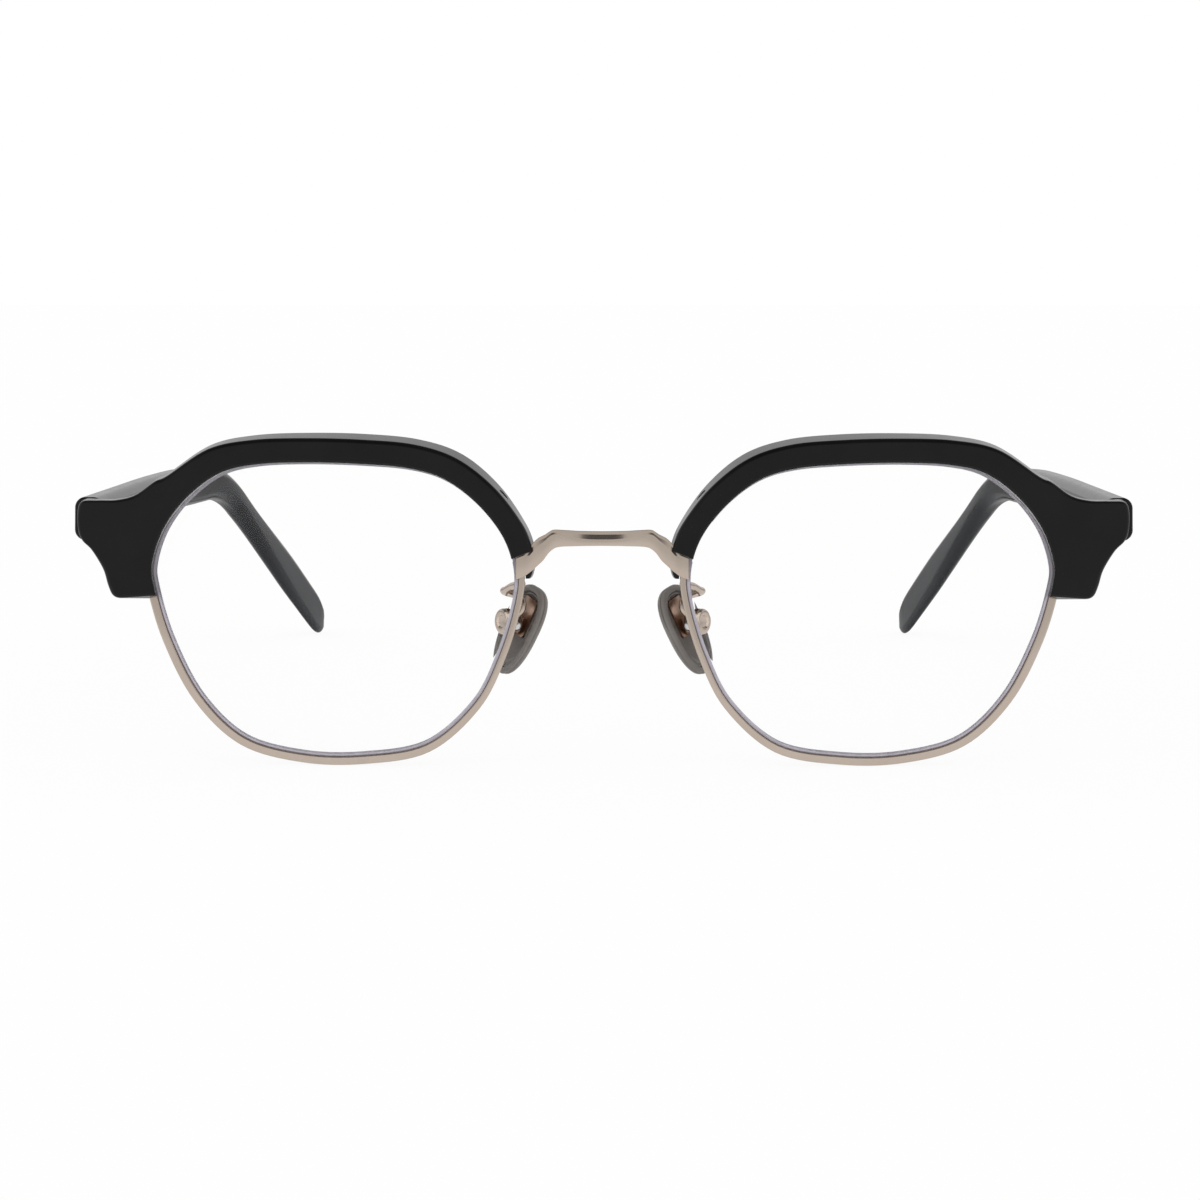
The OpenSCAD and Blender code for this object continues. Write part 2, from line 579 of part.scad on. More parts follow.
// The arm's own direction at the hinge, from its inner face.
module arm_face() translate([arm_x - temple_t / 2, 0, 0]) rotate([0, 0, toe_in]) children();
module temple() {
  last = len(TEMPLE_ROWS) - 1;
  color([0.1, 0.1, 0.1]) temple_frame() difference() {
    skin(concat(
      [for (r = reversed(CORE_ROWS)) core_ring(r, seat)],
      [[for (q = core_ring(CORE_ROWS[0], seat)) on_lobe(q)]],
      [[for (q = temple_ring(0)) on_lobe(q)]],
      [for (i = [1 : 3 * last]) temple_ring(i / 3)],
      [for (a = reversed(tip_ends)) tip_ring(a)]
    ));
    arm_face() translate([-1, -4, -leaf_h / 2 - seat])
      cube([1 + leaf_t + seat, 4 + leaf_l + seat, leaf_h + 2 * seat]);
  }
}
module temple_core() {
  color([0.74, 0.66, 0.6]) temple_frame() skin([for (r = CORE_ROWS) core_ring(r, 0)]);
}
module temple_hinge() {
  color([0.74, 0.66, 0.6]) temple_frame() difference() {
    union() {
      barrels([1, 3]);
      for (k = [1, 3])
        translate([0, 0, -hinge_h / 2 + k * barrel_h + play])
          cube([arm_x - temple_t / 2 + 0.3, barrel_d / 2 - 0.1, barrel_h - 2 * play]);
      arm_face() translate([0, leaf_front, -leaf_h / 2]) cube([leaf_t, leaf_l - leaf_front, leaf_h]);
    }
    cylinder(d = hinge_screw_d + 2 * running, h = hinge_h + 2, center = true, $fn = round_fn);
  }
}

// ---- bridge ----
// Stations from the lens side to the middle: distance from the nasal lens edge,
// top and bottom from the end of the brow bar's face, share of the bar's form,
// and share of the bar's height.
BRIDGE = [
  [0.35, -0.1, -2.73, 0, 0], [0.1, 0.02, -2.7, 0, 0], [-0.6, 0.36, -2.55, 0, 0], [-1.3, 0.62, -2.35, 0.05, 0],
  [-1.75, 1.2, -1.95, 0.45, 0], [-2.25, 1.9, -1.45, 0.85, 0.1], [-2.9, 2.57, -0.8, 1, 0.3],
  [-3.9, 3.08, 0.35, 1, 0.8], [-4.5, 3.39, 1.08, 1, 1], [-4.85, 3.55, 1.36, 1, 1], [-5.3, 3.57, 1.46, 1, 1],
];
BAR_MIDDLE = [[0.45, 3.5, 1.47, 1, 1], [0, 3.45, 1.47, 1, 1]];   // the first number is a share of the last x
bar_drawn = 2;       // the bar height that the stations are drawn for
bridge_v = lens_at(end_p)[1];
plate_y = min([for (p = [11.6 : 0.1 : 12.3]) turn_z(bent(edge_at(p, rim_wall), -rim_d / 2), wrap)[1]]) - fit;
function bridge_low(s) = s[2] + s[4] * (bar_drawn - bar_h);
// A lip along the top, a groove below it, and the flat face.
function bridge_ring(x, top, low, bar) =
  let (
    zt = bridge_v + top, zb = bridge_v + low, f = plate_y - bridge_t - bar_step * bar,
    c = 0.12, nose = f + 0.04 + 0.02 * bar, groove = 0.28 * bar
  )
  [
    [x, plate_y, zb], [x, plate_y, zt], [x, f + c, zt],
    [x, nose, zt - c], [x, nose, zt - c - 0.04 - 0.32 * bar],
    [x, f + groove, zt - c - 0.08 - 0.46 * bar], [x, f + groove * 0.85, zt - c - 0.12 - 0.6 * bar],
    [x, f, zt - c - 0.16 - 0.74 * bar], [x, f, zb + 0.18], [x, f + 0.18, zb],
  ];
module bridge() {
  bar_x = bridge_gap / 2 + BRIDGE[len(BRIDGE) - 1][0];
  half = concat(
    [for (s = BRIDGE) [bridge_gap / 2 + s[0], s[1], bridge_low(s), s[3]]],
    [for (s = BAR_MIDDLE) [bar_x * s[0], s[1], bridge_low(s), s[3]]]
  );
  n = len(half);
  stations = concat(half, [for (i = [n - 2 : -1 : 0]) [-half[i][0], half[i][1], half[i][2], half[i][3]]]);
  color([0.78, 0.69, 0.62]) front_frame() skin([for (s = stations) bridge_ring(s[0], s[1], s[2], s[3])]);
}

// ---- nose pads and their arms ----
pad_y = 5.2;
pad_z = -1.6;
pad_lean = 15.5;     // the top of a pad leans towards the nose
pad_pitch = 20;      // the bottom of a pad lies further back
pad_floor = -1.6;    // from the screw to the pad's recessed outer face
pad_drop = 0.95;     // from the screw down to the middle of the pad
pad_lip = 0.4;
box_d = 3.1;         // the round box at the end of the arm, that holds the pad's tab
box_low = -0.75;
box_top = 1.6;
tab_t = 1;
tab_play = 0.05;
pad_screw_d = 1;
// At the pad's screw: y along the screw, z up the pad, x away from the nose.
module pad_clip() {
  front_frame() translate([pad_x, pad_y, pad_z])
    rotate([0, 0, -pad_splay]) rotate([pad_pitch, 0, 0]) children();
}
module pad_place() pad_clip() rotate([0, -pad_lean, 0]) children();
arm_start = turn_z(bent(edge_at(12.35, 0.1), rim_d / 2), wrap) + [eye_x, 0, 0];
// The arm's way from the rim, round its loop and down to the box. The first
// points go with the rim and the others with the box.
ARM_FROM_RIM = [[0, 0.03, 0], [0.35, 1, 0.05], [1, 2.2, 0.05]];
ARM_FROM_BOX = [
  [0.8, -0.3, 4.35], [0.65, 0.75, 4.1], [-0.1, 1.05, 3.8], [-0.9, 0.25, 3.35],
  [-1.45, -0.85, 2.8], [-1.55, -1.6, 2.1], [-1.3, -1.75, 1.4], [-0.95, -1.45, 0.95], [-0.6, -1, 0.65],
];
module pad_arm() {
  way = concat(
    [for (q = ARM_FROM_RIM) arm_start + q],
    [for (q = ARM_FROM_BOX) [pad_x, pad_y, pad_z] + q]
  );
  slot = tab_t / 2 + tab_play;
  color([0.78, 0.69, 0.62]) difference() {
    union() {
      front_frame() tube(spread(way, 3), arm_d, 8, [0, 0, 1]);
      pad_clip() rotate([0, 90, 0]) {
        translate([0, 0, box_low]) cylinder(d = box_d, h = box_top - box_low - 0.35, $fn = round_fn);
        translate([0, 0, box_top - 0.35]) cylinder(d1 = box_d, d2 = box_d - 0.6, h = 0.35, $fn = round_fn);
      }
    }
    pad_clip() {
      rod_y(pad_screw_d + fit, -3, 3);
      translate([box_low - 2, -slot, -3]) cube([1.08 - box_low + 2, 2 * slot, 6]);
      translate([box_top - 0.2, 0, 0]) rotate([0, 90, 0]) cylinder(d = 1.7, h = 1, $fn = round_fn);
    }
  }
}
module pad_screw() {
  head = box_d / 2 + 0.05;
  color([0.8, 0.8, 0.82]) pad_clip() {
    rod_y(pad_screw_d, -head - 0.1, box_d / 2 + 0.05);
    difference() {
      rod_y(1.6, -head - 0.5, -head);
      translate([-1, -head - 0.75, -0.14]) cube([2, 0.45, 0.28]);
    }
  }
}
core_plate = [0.4, 3, 5.2];   // its depth, width and length
module pad_core() {
  color([0.62, 0.45, 0.36]) pad_place() difference() {
    union() {
      translate([pad_floor - core_plate[0], -core_plate[1] / 2, -core_plate[2] / 2 - 0.6]) cube(core_plate);
      translate([pad_floor - 0.1, -tab_t / 2, -1]) cube([0.1 - pad_floor, tab_t, 2]);
      rod_y(2, -tab_t / 2, tab_t / 2);
    }
    rod_y(pad_screw_d + 2 * running, -2, 2);
  }
}
// Outline of a pad, drawn in by a margin, at height x.
function pad_ring(margin, x) = [for (j = [0 : 19])
  let (
    a = 360 * j / 20, c = cos(a), s = sin(a),
    y = (pad_w / 2 - margin) * sign(c) * pow(abs(c), 0.8) * (1 + 0.18 * s),
    z = (pad_len / 2 - margin) * sign(s) * pow(abs(s), 0.88)
  ) [x, y, z - pad_drop]];
module nose_pad() {
  top = pad_floor + pad_lip;
  low = top - pad_t;
  color([0.45, 0.43, 0.41]) pad_place() difference() {
    skin([
      pad_ring(1.7, pad_floor), pad_ring(1.15, pad_floor), pad_ring(0.95, top), pad_ring(0.5, top),
      pad_ring(0.1, top - 0.25), pad_ring(0, top - 0.6), pad_ring(0.2, low + 0.65),
      pad_ring(0.75, low + 0.25), pad_ring(1.8, low),
    ]);
    translate([pad_floor - core_plate[0] - seat, -core_plate[1] / 2 - seat, -core_plate[2] / 2 - seat - 0.6])
      cube(core_plate + [1, 2 * seat, 2 * seat]);
  }
}

// ---- left is the wearer's left, at +X; the right side mirrors it ----
module right() mirror([1, 0, 0]) children();
bridge();
rim();  // rim_left
right() rim();  // rim_right
lens();  // lens_left
right() lens();  // lens_right
brow();  // brow_left
right() brow();  // brow_right
rim_lock_upper();  // rim_lock_upper_left
right() rim_lock_upper();  // rim_lock_upper_right
rim_lock_lower();  // rim_lock_lower_left
right() rim_lock_lower();  // rim_lock_lower_right
rim_lock_screw();  // rim_lock_screw_left
right() rim_lock_screw();  // rim_lock_screw_right
brow_lug();  // brow_lug_left
right() brow_lug();  // brow_lug_right
brow_screw();  // brow_screw_left
right() brow_screw();  // brow_screw_right
endpiece();  // endpiece_left
right() endpiece();  // endpiece_right
endpiece_screw();  // endpiece_screw_left
right() endpiece_screw();  // endpiece_screw_right
hinge_screw();  // hinge_screw_left
right() hinge_screw();  // hinge_screw_right
temple_hinge();  // temple_hinge_left
right() temple_hinge();  // temple_hinge_right
temple();  // temple_left
right() temple();  // temple_right
temple_core();  // temple_core_left
right() temple_core();  // temple_core_right
pad_arm();  // pad_arm_left
right() pad_arm();  // pad_arm_right
pad_screw();  // pad_screw_left
right() pad_screw();  // pad_screw_right
pad_core();  // pad_core_left
right() pad_core();  // pad_core_right
nose_pad();  // nose_pad_left
right() nose_pad();  // nose_pad_right
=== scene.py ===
"""Combination spectacles: metal rims and bridge, acetate brow bars and temples.

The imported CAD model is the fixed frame. Most of its pieces are replaced here by
finer meshes of the same forms, and all of them get procedural materials.
Lengths in this script are millimetres until a mesh is made.
"""

import itertools
import json
import math

import bmesh
import bpy
import numpy as np
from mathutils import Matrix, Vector


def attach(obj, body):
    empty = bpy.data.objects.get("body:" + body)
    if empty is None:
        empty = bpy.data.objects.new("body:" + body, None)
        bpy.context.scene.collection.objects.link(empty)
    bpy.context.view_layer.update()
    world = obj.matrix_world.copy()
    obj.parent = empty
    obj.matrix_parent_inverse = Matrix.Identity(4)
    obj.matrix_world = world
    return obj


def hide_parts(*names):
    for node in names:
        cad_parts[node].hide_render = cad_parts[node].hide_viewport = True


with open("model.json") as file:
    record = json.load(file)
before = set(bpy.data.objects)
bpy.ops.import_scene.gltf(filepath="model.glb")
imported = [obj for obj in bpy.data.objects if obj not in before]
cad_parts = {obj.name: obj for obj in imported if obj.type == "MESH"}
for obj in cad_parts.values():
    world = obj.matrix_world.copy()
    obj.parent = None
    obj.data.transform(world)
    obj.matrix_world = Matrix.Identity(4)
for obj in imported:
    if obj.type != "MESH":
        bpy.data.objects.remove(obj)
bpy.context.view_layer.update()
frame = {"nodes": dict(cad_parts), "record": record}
MM = 0.001

# ---------------------------------------------------------------- driving sizes
# Lenses and front
LENS_W = 47.0
LENS_H = 38.0
LENS_T = 2.0
BASE_R = 140.0
BRIDGE_GAP = 21.0
WRAP = math.radians(4.0)
LEAN = math.radians(5.0)
EYE_X = (BRIDGE_GAP + LENS_W) / 2
# Rims
RIM_D = 2.4
RIM_WALL = 0.55
GROOVE_D = 0.5
GROOVE_W = 1.2
RIM_GAP = 0.1
# Brow bars
BROW_W = 2.3
BROW_FRONT = 2.8
BROW_BACK = 2.2
BROW_ROUND = 0.75
BROW_LIP = 0.2
LOBE_REACH = 9.05
BROW_FLARE = 0.7
SCREW_P = 10.2  # place of the brow screw on the lens edge
END_P = 11.62  # place where the bar's face ends
# Bridge
BRIDGE_T = 0.85
BAR_STEP = 0.45
# Temples
TEMPLE_LEN = 145.0
TIP_LEN = 47.0
TIP_DROP = math.radians(32.0)
TEMPLE_H = 5.5
TEMPLE_T = 3.8
TOE_IN = math.radians(1.7)
TIP_IN = 14.6  # how far the tip curls inwards
BARREL_D = 2.6
HINGE_V = 10.9  # height above the lens's middle
HINGE_IN = 3.75  # from the lobe's outer end to the hinge
HINGE_CLEAR = 0.3
# Nose pads
PAD_LEN = 12.2
PAD_W = 7.0
PAD_T = 1.7
PAD_SPLAY = math.radians(35)
PAD_LEAN = math.radians(15.5)
PAD_PITCH = math.radians(20)
PAD_AT = np.array([11.7, 5.2, -1.6])
ARM_D = 1.02

# Shares of the half width and half height, from the temple side over the top.
LENS_SHAPE = np.array([
    (0.985, 0.14), (0.995, 0.315), (0.93, 0.55), (0.80, 0.76), (0.62, 0.923),
    (0.42, 0.985), (0.15, 1), (-0.15, 0.99), (-0.42, 0.96), (-0.62, 0.882),
    (-0.80, 0.713), (-0.94, 0.487), (-0.998, 0.25), (-0.98, 0.015), (-0.90, -0.31),
    (-0.765, -0.635), (-0.507, -0.913), (-0.167, -0.992), (0.165, -0.983), (0.488, -0.873),
    (0.731, -0.592), (0.897, -0.208),
])
KNOTS = LENS_SHAPE * (LENS_W / 2, LENS_H / 2)
LAP = len(KNOTS)  # places on the outline are counted in knots


# ---------------------------------------------------------------- curves
def unit(v):
    return v / np.linalg.norm(v)


def blend4(a, b, c, d, t):
    """The point at share t between b and c, on a smooth curve through a, b, c and d."""
    return 0.5 * (
        2 * b
        + (c - a) * t
        + (2 * a - 5 * b + 4 * c - d) * t * t
        + (3 * b - a - 3 * c + d) * t * t * t
    )


def lens_at(p):
    """The lens edge at place p."""
    i = math.floor(p)
    return blend4(*(KNOTS[(i + k) % LAP] for k in (-1, 0, 1, 2)), p - i)


TANGENT_STEP = 0.04


def lens_along(p):
    """The edge's direction at place p."""
    return unit(lens_at(p + TANGENT_STEP) - lens_at(p - TANGENT_STEP))


def lens_out(p):
    """The direction away from the lens at place p."""
    d = lens_along(p)
    return np.array([d[1], -d[0]])


def edge_at(p, r):
    """The point r outside the lens edge."""
    return lens_at(p) + lens_out(p) * r


def along(rows, t):
    """Row t of a smooth open curve through rows of numbers."""
    rows = np.asarray(rows, float)
    i = min(int(math.floor(t)), len(rows) - 2)
    pick = [rows[max(0, min(len(rows) - 1, i + k))] for k in (-1, 0, 1, 2)]
    return blend4(*pick, t - i)


def spread(rows, n):
    """A smooth curve through rows, in n steps from one to the next."""
    return [along(rows, i / n) for i in range((len(rows) - 1) * n + 1)]


# ---------------------------------------------------------------- places
def sag(q):
    """Depth of the lens curve, straight on beyond the lens."""
    r = math.hypot(*q)
    e = LENS_W / 2
    root = math.sqrt(BASE_R**2 - e * e)
    if r <= e:
        return BASE_R - math.sqrt(BASE_R**2 - r * r)
    return BASE_R - root + (r - e) * e / root


def bent(q, n):
    """A point n behind the lens edge, square to the lens curve."""
    k = 1 - n / BASE_R
    return np.array([q[0] * k, sag(q) * k + n, q[1] * k])


MILL_K = 1 + RIM_D / 2 / BASE_R


def milled(q, n):
    """A point n behind the lens edge, straight back."""
    return np.array([q[0] * MILL_K, sag(q) + n, q[1] * MILL_K])


# Each turns a point by an angle about one axis.
def turn_z(p, a):
    c, s = math.cos(a), math.sin(a)
    return np.array([p[0] * c - p[1] * s, p[0] * s + p[1] * c, p[2]])


def turn_x(p, a):
    c, s = math.cos(a), math.sin(a)
    return np.array([p[0], p[1] * c - p[2] * s, p[1] * s + p[2] * c])


def turn_y(p, a):
    c, s = math.cos(a), math.sin(a)
    return np.array([p[0] * c + p[2] * s, p[1], -p[0] * s + p[2] * c])


JOINTS = {j["name"]: j for j in frame["record"]["behaviour"]["joints"]}
HINGE = np.array(JOINTS["temple_left_hinge"]["pos_m"]) / MM
PITCH = math.asin(JOINTS["temple_left_hinge"]["axis"][1])
HINGE_BACK = BROW_BACK + HINGE_CLEAR + BARREL_D / 2
HINGE_U = LENS_W / 2 + LOBE_REACH - HINGE_IN


def leant(p):
    """A point of the left lens, wrapped, set aside and leant like the front."""
    return turn_x(turn_z(p, WRAP) + (EYE_X, 0, 0), -LEAN)


# The front's place follows from where the hinge is.
FRONT = HINGE - leant(milled((HINGE_U, HINGE_V), HINGE_BACK))


# Each puts a point of one part's own frame in its place in the world.
def in_eye(p):
    return leant(p) + FRONT


def in_front(p):
    return turn_x(p, -LEAN) + FRONT


def in_temple(p):
    return turn_x(p, -PITCH) + HINGE


def to_temple(p):
    """The other way round: a point of the world in the temple's frame."""
    return turn_x(p - HINGE, PITCH)


def in_clip(p):
    return in_front(turn_z(turn_x(p, PAD_PITCH), -PAD_SPLAY) + PAD_AT)


def in_pad(p):
    return in_clip(turn_y(p, -PAD_LEAN))


# ---------------------------------------------------------------- meshes
NEARLY_STRAIGHT = math.radians(88)
MOST_OF_SIDE = 0.49  # a rounding takes less than half of the side next to it
LEAST_TAN = 0.05


def soften(ring, radii, segments):
    """Rounds the corners of a closed ring of points. A radius of 0 keeps its corner."""
    out = []
    n = len(ring)
    for i, radius in enumerate(radii):
        corner, before, after = ring[i], ring[i - 1], ring[(i + 1) % n]
        if not radius:
            out.append(corner)
            continue
        to_before, to_after = unit(before - corner), unit(after - corner)
        half = 0.5 * math.acos(max(-1, min(1, float(to_before @ to_after))))
        if half > NEARLY_STRAIGHT:
            out.extend([corner] * (segments + 1))
            continue
        room = MOST_OF_SIDE * min(np.linalg.norm(before - corner), np.linalg.norm(after - corner))
        reach = min(radius / max(math.tan(half), LEAST_TAN), room)
        r = reach * math.tan(half)
        centre = corner + unit(to_before + to_after) * (r / math.sin(half))
        first, last = corner + to_before * reach - centre, corner + to_after * reach - centre
        sweep = math.pi - 2 * half
        for k in range(segments + 1):
            a = sweep * k / segments
            turned = (first * math.sin(sweep - a) + last * math.sin(a)) / math.sin(sweep)
            out.append(centre + turned)
    return out


def face_outwards(mesh):
    """Turns every face's outer side outwards."""
    bm = bmesh.new()
    bm.from_mesh(mesh)
    bmesh.ops.recalc_face_normals(bm, faces=bm.faces)
    bm.to_mesh(mesh)
    bm.free()


SHARP = 32  # degrees at which shading breaks, unless a piece says otherwise


def sharpen(mesh, degrees):
    mesh.set_sharp_from_angle(angle=math.radians(degrees))


def link(name, data):
    obj = bpy.data.objects.new(name, data)
    bpy.context.scene.collection.objects.link(obj)
    return obj


def mesh_object(name, points, faces, material, sharp=SHARP):
    """A smooth mesh object from points in millimetres, with one material or a list."""
    mesh = bpy.data.meshes.new(name)
    mesh.from_pydata([tuple(p * MM) for p in points], [], faces)
    for m in material if isinstance(material, list) else [material]:
        mesh.materials.append(m)
    mesh.validate()
    face_outwards(mesh)
    mesh.shade_smooth()
    sharpen(mesh, sharp)
    return link(name, mesh)


def even_shading(obj):
    """Keeps flat faces flat where they meet small round edges."""
    m = obj.modifiers.new("even_shading", "WEIGHTED_NORMAL")
    m.keep_sharp = True
    m.weight = 80


def skin(name, rings, material, sharp=SHARP):
    """A closed surface through rings of the same number of points."""
    n = len(rings[0])
    last = (len(rings) - 1) * n
    faces = []
    for a in range(0, last, n):
        for j in range(n):
            k = (j + 1) % n
            faces.append((a + j, a + k, a + n + k, a + n + j))
    faces.append(tuple(reversed(range(n))))
    faces.append(tuple(last + j for j in range(n)))
    return mesh_object(name, [p for r in rings for p in r], faces, material, sharp)


def lathe(name, profile, place, material, sides, sharp=SHARP):
    """A turned piece: profile is [(radius, height)], about z, put in place by a function."""
    rings = [
        [
            place(np.array([r * math.cos(a), r * math.sin(a), h]))
            for a in np.linspace(0, 2 * math.pi, sides, endpoint=False)
        ]
        for r, h in profile
    ]
    return skin(name, rings, material, sharp)


def box_at(name, low, high, place, material):
    """A box between two corners, put in place by a function."""
    corners = [place(np.array(q)) for q in itertools.product(*zip(low, high))]
    faces = [(0, 1, 3, 2), (4, 6, 7, 5), (0, 4, 5, 1), (2, 3, 7, 6), (0, 2, 6, 4), (1, 5, 7, 3)]
    return mesh_object(name, corners, faces, material)


def apply_modifiers(obj):
    """Puts the shape that the modifiers make in the place of the mesh."""
    graph = bpy.context.evaluated_depsgraph_get()
    mesh = bpy.data.meshes.new_from_object(obj.evaluated_get(graph), depsgraph=graph)
    old = obj.data
    obj.modifiers.clear()
    obj.data = mesh
    bpy.data.meshes.remove(old)


def cut(obj, cutter, sharp):
    """Takes the cutter's shape out of a piece, and removes the cutter."""
    m = obj.modifiers.new("cut", "BOOLEAN")
    m.operation = "DIFFERENCE"
    m.solver = "EXACT"
    m.object = cutter
    bpy.context.view_layer.update()
    apply_modifiers(obj)
    bpy.data.objects.remove(cutter, do_unlink=True)
    obj.data.shade_smooth()
    sharpen(obj.data, sharp)


def join(obj, other, sharp):
    """Makes another mesh part of a piece."""
    with bpy.context.temp_override(active_object=obj, selected_editable_objects=[obj, other]):
        bpy.ops.object.join()
    sharpen(obj.data, sharp)


def mirrored(obj, name):
    """A copy of a left piece for the right side, with its faces turned the right way."""
    mesh = obj.data.copy()
    mesh.name = name
    bm = bmesh.new()
    bm.from_mesh(mesh)
    bmesh.ops.scale(bm, vec=(-1, 1, 1), verts=bm.verts)
    bmesh.ops.reverse_faces(bm, faces=bm.faces)
    bm.to_mesh(mesh)
    bm.free()
    copy = link(name, mesh)
    if obj.modifiers:
        even_shading(copy)
    return copy


def both_sides(obj, node, bodies):
    """Declares a left piece, and makes and declares its mirror image.

    bodies is front, or what the names of two moving bodies begin with.
    """
    right = mirrored(obj, obj.name.replace("left", "right"))
    for piece, side in ((obj, "left"), (right, "right")):
        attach(piece, bodies if bodies == "front" else f"{bodies}_{side}")
        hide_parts(f"{node}_{side}")


# ---------------------------------------------------------------- materials
def new_material(name):
    """A material, its node tree and its shader."""
    m = bpy.data.materials.new(name)
    m.use_nodes = True
    tree = m.node_tree
    return m, tree, tree.nodes["Principled BSDF"]


def set_inputs(n, values):
    for key, value in values.items():
        n.inputs[key].default_value = value


NOISE_ROUGH = 0.55


def noise(tree, scale, detail=3, stretch=None):
    """A noise in object space. scale is in waves per metre."""
    n = tree.nodes.new("ShaderNodeTexNoise")
    set_inputs(n, {"Scale": scale, "Detail": detail, "Roughness": NOISE_ROUGH})
    source = tree.nodes.new("ShaderNodeTexCoord").outputs["Object"]
    if stretch:
        mapping = tree.nodes.new("ShaderNodeMapping")
        mapping.inputs["Scale"].default_value = stretch
        tree.links.new(source, mapping.inputs["Vector"])
        source = mapping.outputs["Vector"]
    tree.links.new(source, n.inputs["Vector"])
    return n.outputs["Fac"]


# Where in a noise's range its lowest and highest result are reached.
NOISE_FROM, NOISE_TO = 0.3, 0.7


def spread_between(tree, value, low, high):
    """A noise's value, spread over the range from low to high."""
    n = tree.nodes.new("ShaderNodeMapRange")
    set_inputs(n, {"From Min": NOISE_FROM, "From Max": NOISE_TO, "To Min": low, "To Max": high})
    tree.links.new(value, n.inputs["Value"])
    return n.outputs["Result"]


def ramp(tree, value, stops, interpolation="LINEAR"):
    """A colour that follows a value through stops of (value, colour)."""
    n = tree.nodes.new("ShaderNodeValToRGB")
    n.color_ramp.interpolation = interpolation
    n.color_ramp.elements.remove(n.color_ramp.elements[1])
    for i, (at, colour) in enumerate(stops):
        e = n.color_ramp.elements[0] if i == 0 else n.color_ramp.elements.new(at)
        e.position = at
        e.color = (*colour, 1)
    tree.links.new(value, n.inputs["Fac"])
    return n.outputs["Color"]


def greys(tree, value, stops):
    """A grey level that follows a value smoothly through stops of (value, level)."""
    return ramp(tree, value, [(at, (level, level, level)) for at, level in stops], "EASE")


def base_colour(tree, bsdf, value, low, high):
    """The surface's colour drifts between two colours with a noise."""
    colour = ramp(tree, value, [(NOISE_FROM, low), (NOISE_TO, high)])
    tree.links.new(colour, bsdf.inputs["Base Color"])


def bump(tree, bsdf, height, distance, strength, after=None):
    """Bump from a noise, distance in millimetres, on top of another bump if one is given."""
    b = tree.nodes.new("ShaderNodeBump")
    set_inputs(b, {"Strength": strength, "Distance": distance * MM})
    tree.links.new(height, b.inputs["Height"])
    if after:
        tree.links.new(after, b.inputs["Normal"])
    tree.links.new(b.outputs["Normal"], bsdf.inputs["Normal"])
    return b.outputs["Normal"]


def black_acetate():
    """Polished cellulose acetate: near black with a faint cloud, a hand-polished ripple."""
    m, tree, bsdf = new_material("black_acetate")
    cloud = noise(tree, 160, detail=4)
    base_colour(tree, bsdf, cloud, (0.0034, 0.0033, 0.0035), (0.0058, 0.0057, 0.0059))
    haze = noise(tree, 900, detail=5)
    tree.links.new(spread_between(tree, haze, 0.13, 0.19), bsdf.inputs["Roughness"])
    set_inputs(bsdf, {"IOR": 1.5, "Specular IOR Level": 0.28})
    ripple = bump(tree, bsdf, noise(tree, 220, detail=2), distance=0.03, strength=0.25)
    grain = noise(tree, 6000, detail=2)
    bump(tree, bsdf, grain, distance=0.002, strength=0.15, after=ripple)
    return m


def plated_metal(name, low, high, rough=(0.17, 0.22), grain=(1, 1, 1)):
    """Polished plating: slightly uneven colour and polish, with a soft tumbled ripple."""
    m, tree, bsdf = new_material(name)
    bsdf.inputs["Metallic"].default_value = 1
    base_colour(tree, bsdf, noise(tree, 160), low, high)
    marks = noise(tree, 350, detail=2, stretch=grain)
    tree.links.new(spread_between(tree, marks, *rough), bsdf.inputs["Roughness"])
    ripple = noise(tree, 250, detail=1, stretch=grain)
    bump(tree, bsdf, ripple, distance=0.01, strength=0.1)
    return m


def clear_lens():
    """Clear lens with a faint anti-reflex coat. Light passes to what is behind."""
    m, tree, bsdf = new_material("clear_lens")
    set_inputs(bsdf, {"Base Color": (1, 1, 1, 1), "Transmission Weight": 1, "IOR": 1.5})
    set_inputs(bsdf, {"Specular IOR Level": 0.02, "Specular Tint": (0.1, 0.12, 0.16, 1)})
    smear = noise(tree, 90, detail=4)
    tree.links.new(spread_between(tree, smear, 0.0, 0.012), bsdf.inputs["Roughness"])
    pass_on = tree.nodes.new("ShaderNodeBsdfTransparent")
    pass_on.inputs["Color"].default_value = (0.96, 0.97, 0.97, 1)
    path = tree.nodes.new("ShaderNodeLightPath")
    mix = tree.nodes.new("ShaderNodeMixShader")
    tree.links.new(path.outputs["Is Shadow Ray"], mix.inputs["Fac"])
    tree.links.new(bsdf.outputs["BSDF"], mix.inputs[1])
    tree.links.new(pass_on.outputs["BSDF"], mix.inputs[2])
    tree.links.new(mix.outputs["Shader"], tree.nodes["Material Output"].inputs["Surface"])
    return m


def lens_edge():
    """The ground bevel of a lens: frosted, purplish grey, with a faint painted glow that stands in
    for light carried through the lens.
    """
    m, tree, bsdf = new_material("lens_edge")
    ground = noise(tree, 900, detail=2)
    base_colour(tree, bsdf, ground, (0.4, 0.375, 0.42), (0.48, 0.455, 0.5))
    # The lavender emission is a painted glow, standing in for light that the lens carries to its
    # edge.
    set_inputs(bsdf, {
        "Roughness": 0.45, "Emission Color": (0.62, 0.59, 0.66, 1), "Emission Strength": 0.1,
    })
    bump(tree, bsdf, ground, distance=0.01, strength=0.1)
    return m


def pad_plastic():
    """Smoky translucent pad, with a silky skin and faint flow marks."""
    m, tree, bsdf = new_material("pad_plastic")
    base_colour(tree, bsdf, noise(tree, 200), (0.23, 0.21, 0.195), (0.27, 0.25, 0.235))
    set_inputs(bsdf, {"Transmission Weight": 0.1, "IOR": 1.45})
    tree.links.new(spread_between(tree, noise(tree, 400), 0.08, 0.13), bsdf.inputs["Roughness"])
    bump(tree, bsdf, noise(tree, 300, detail=1), distance=0.01, strength=0.1)
    return m


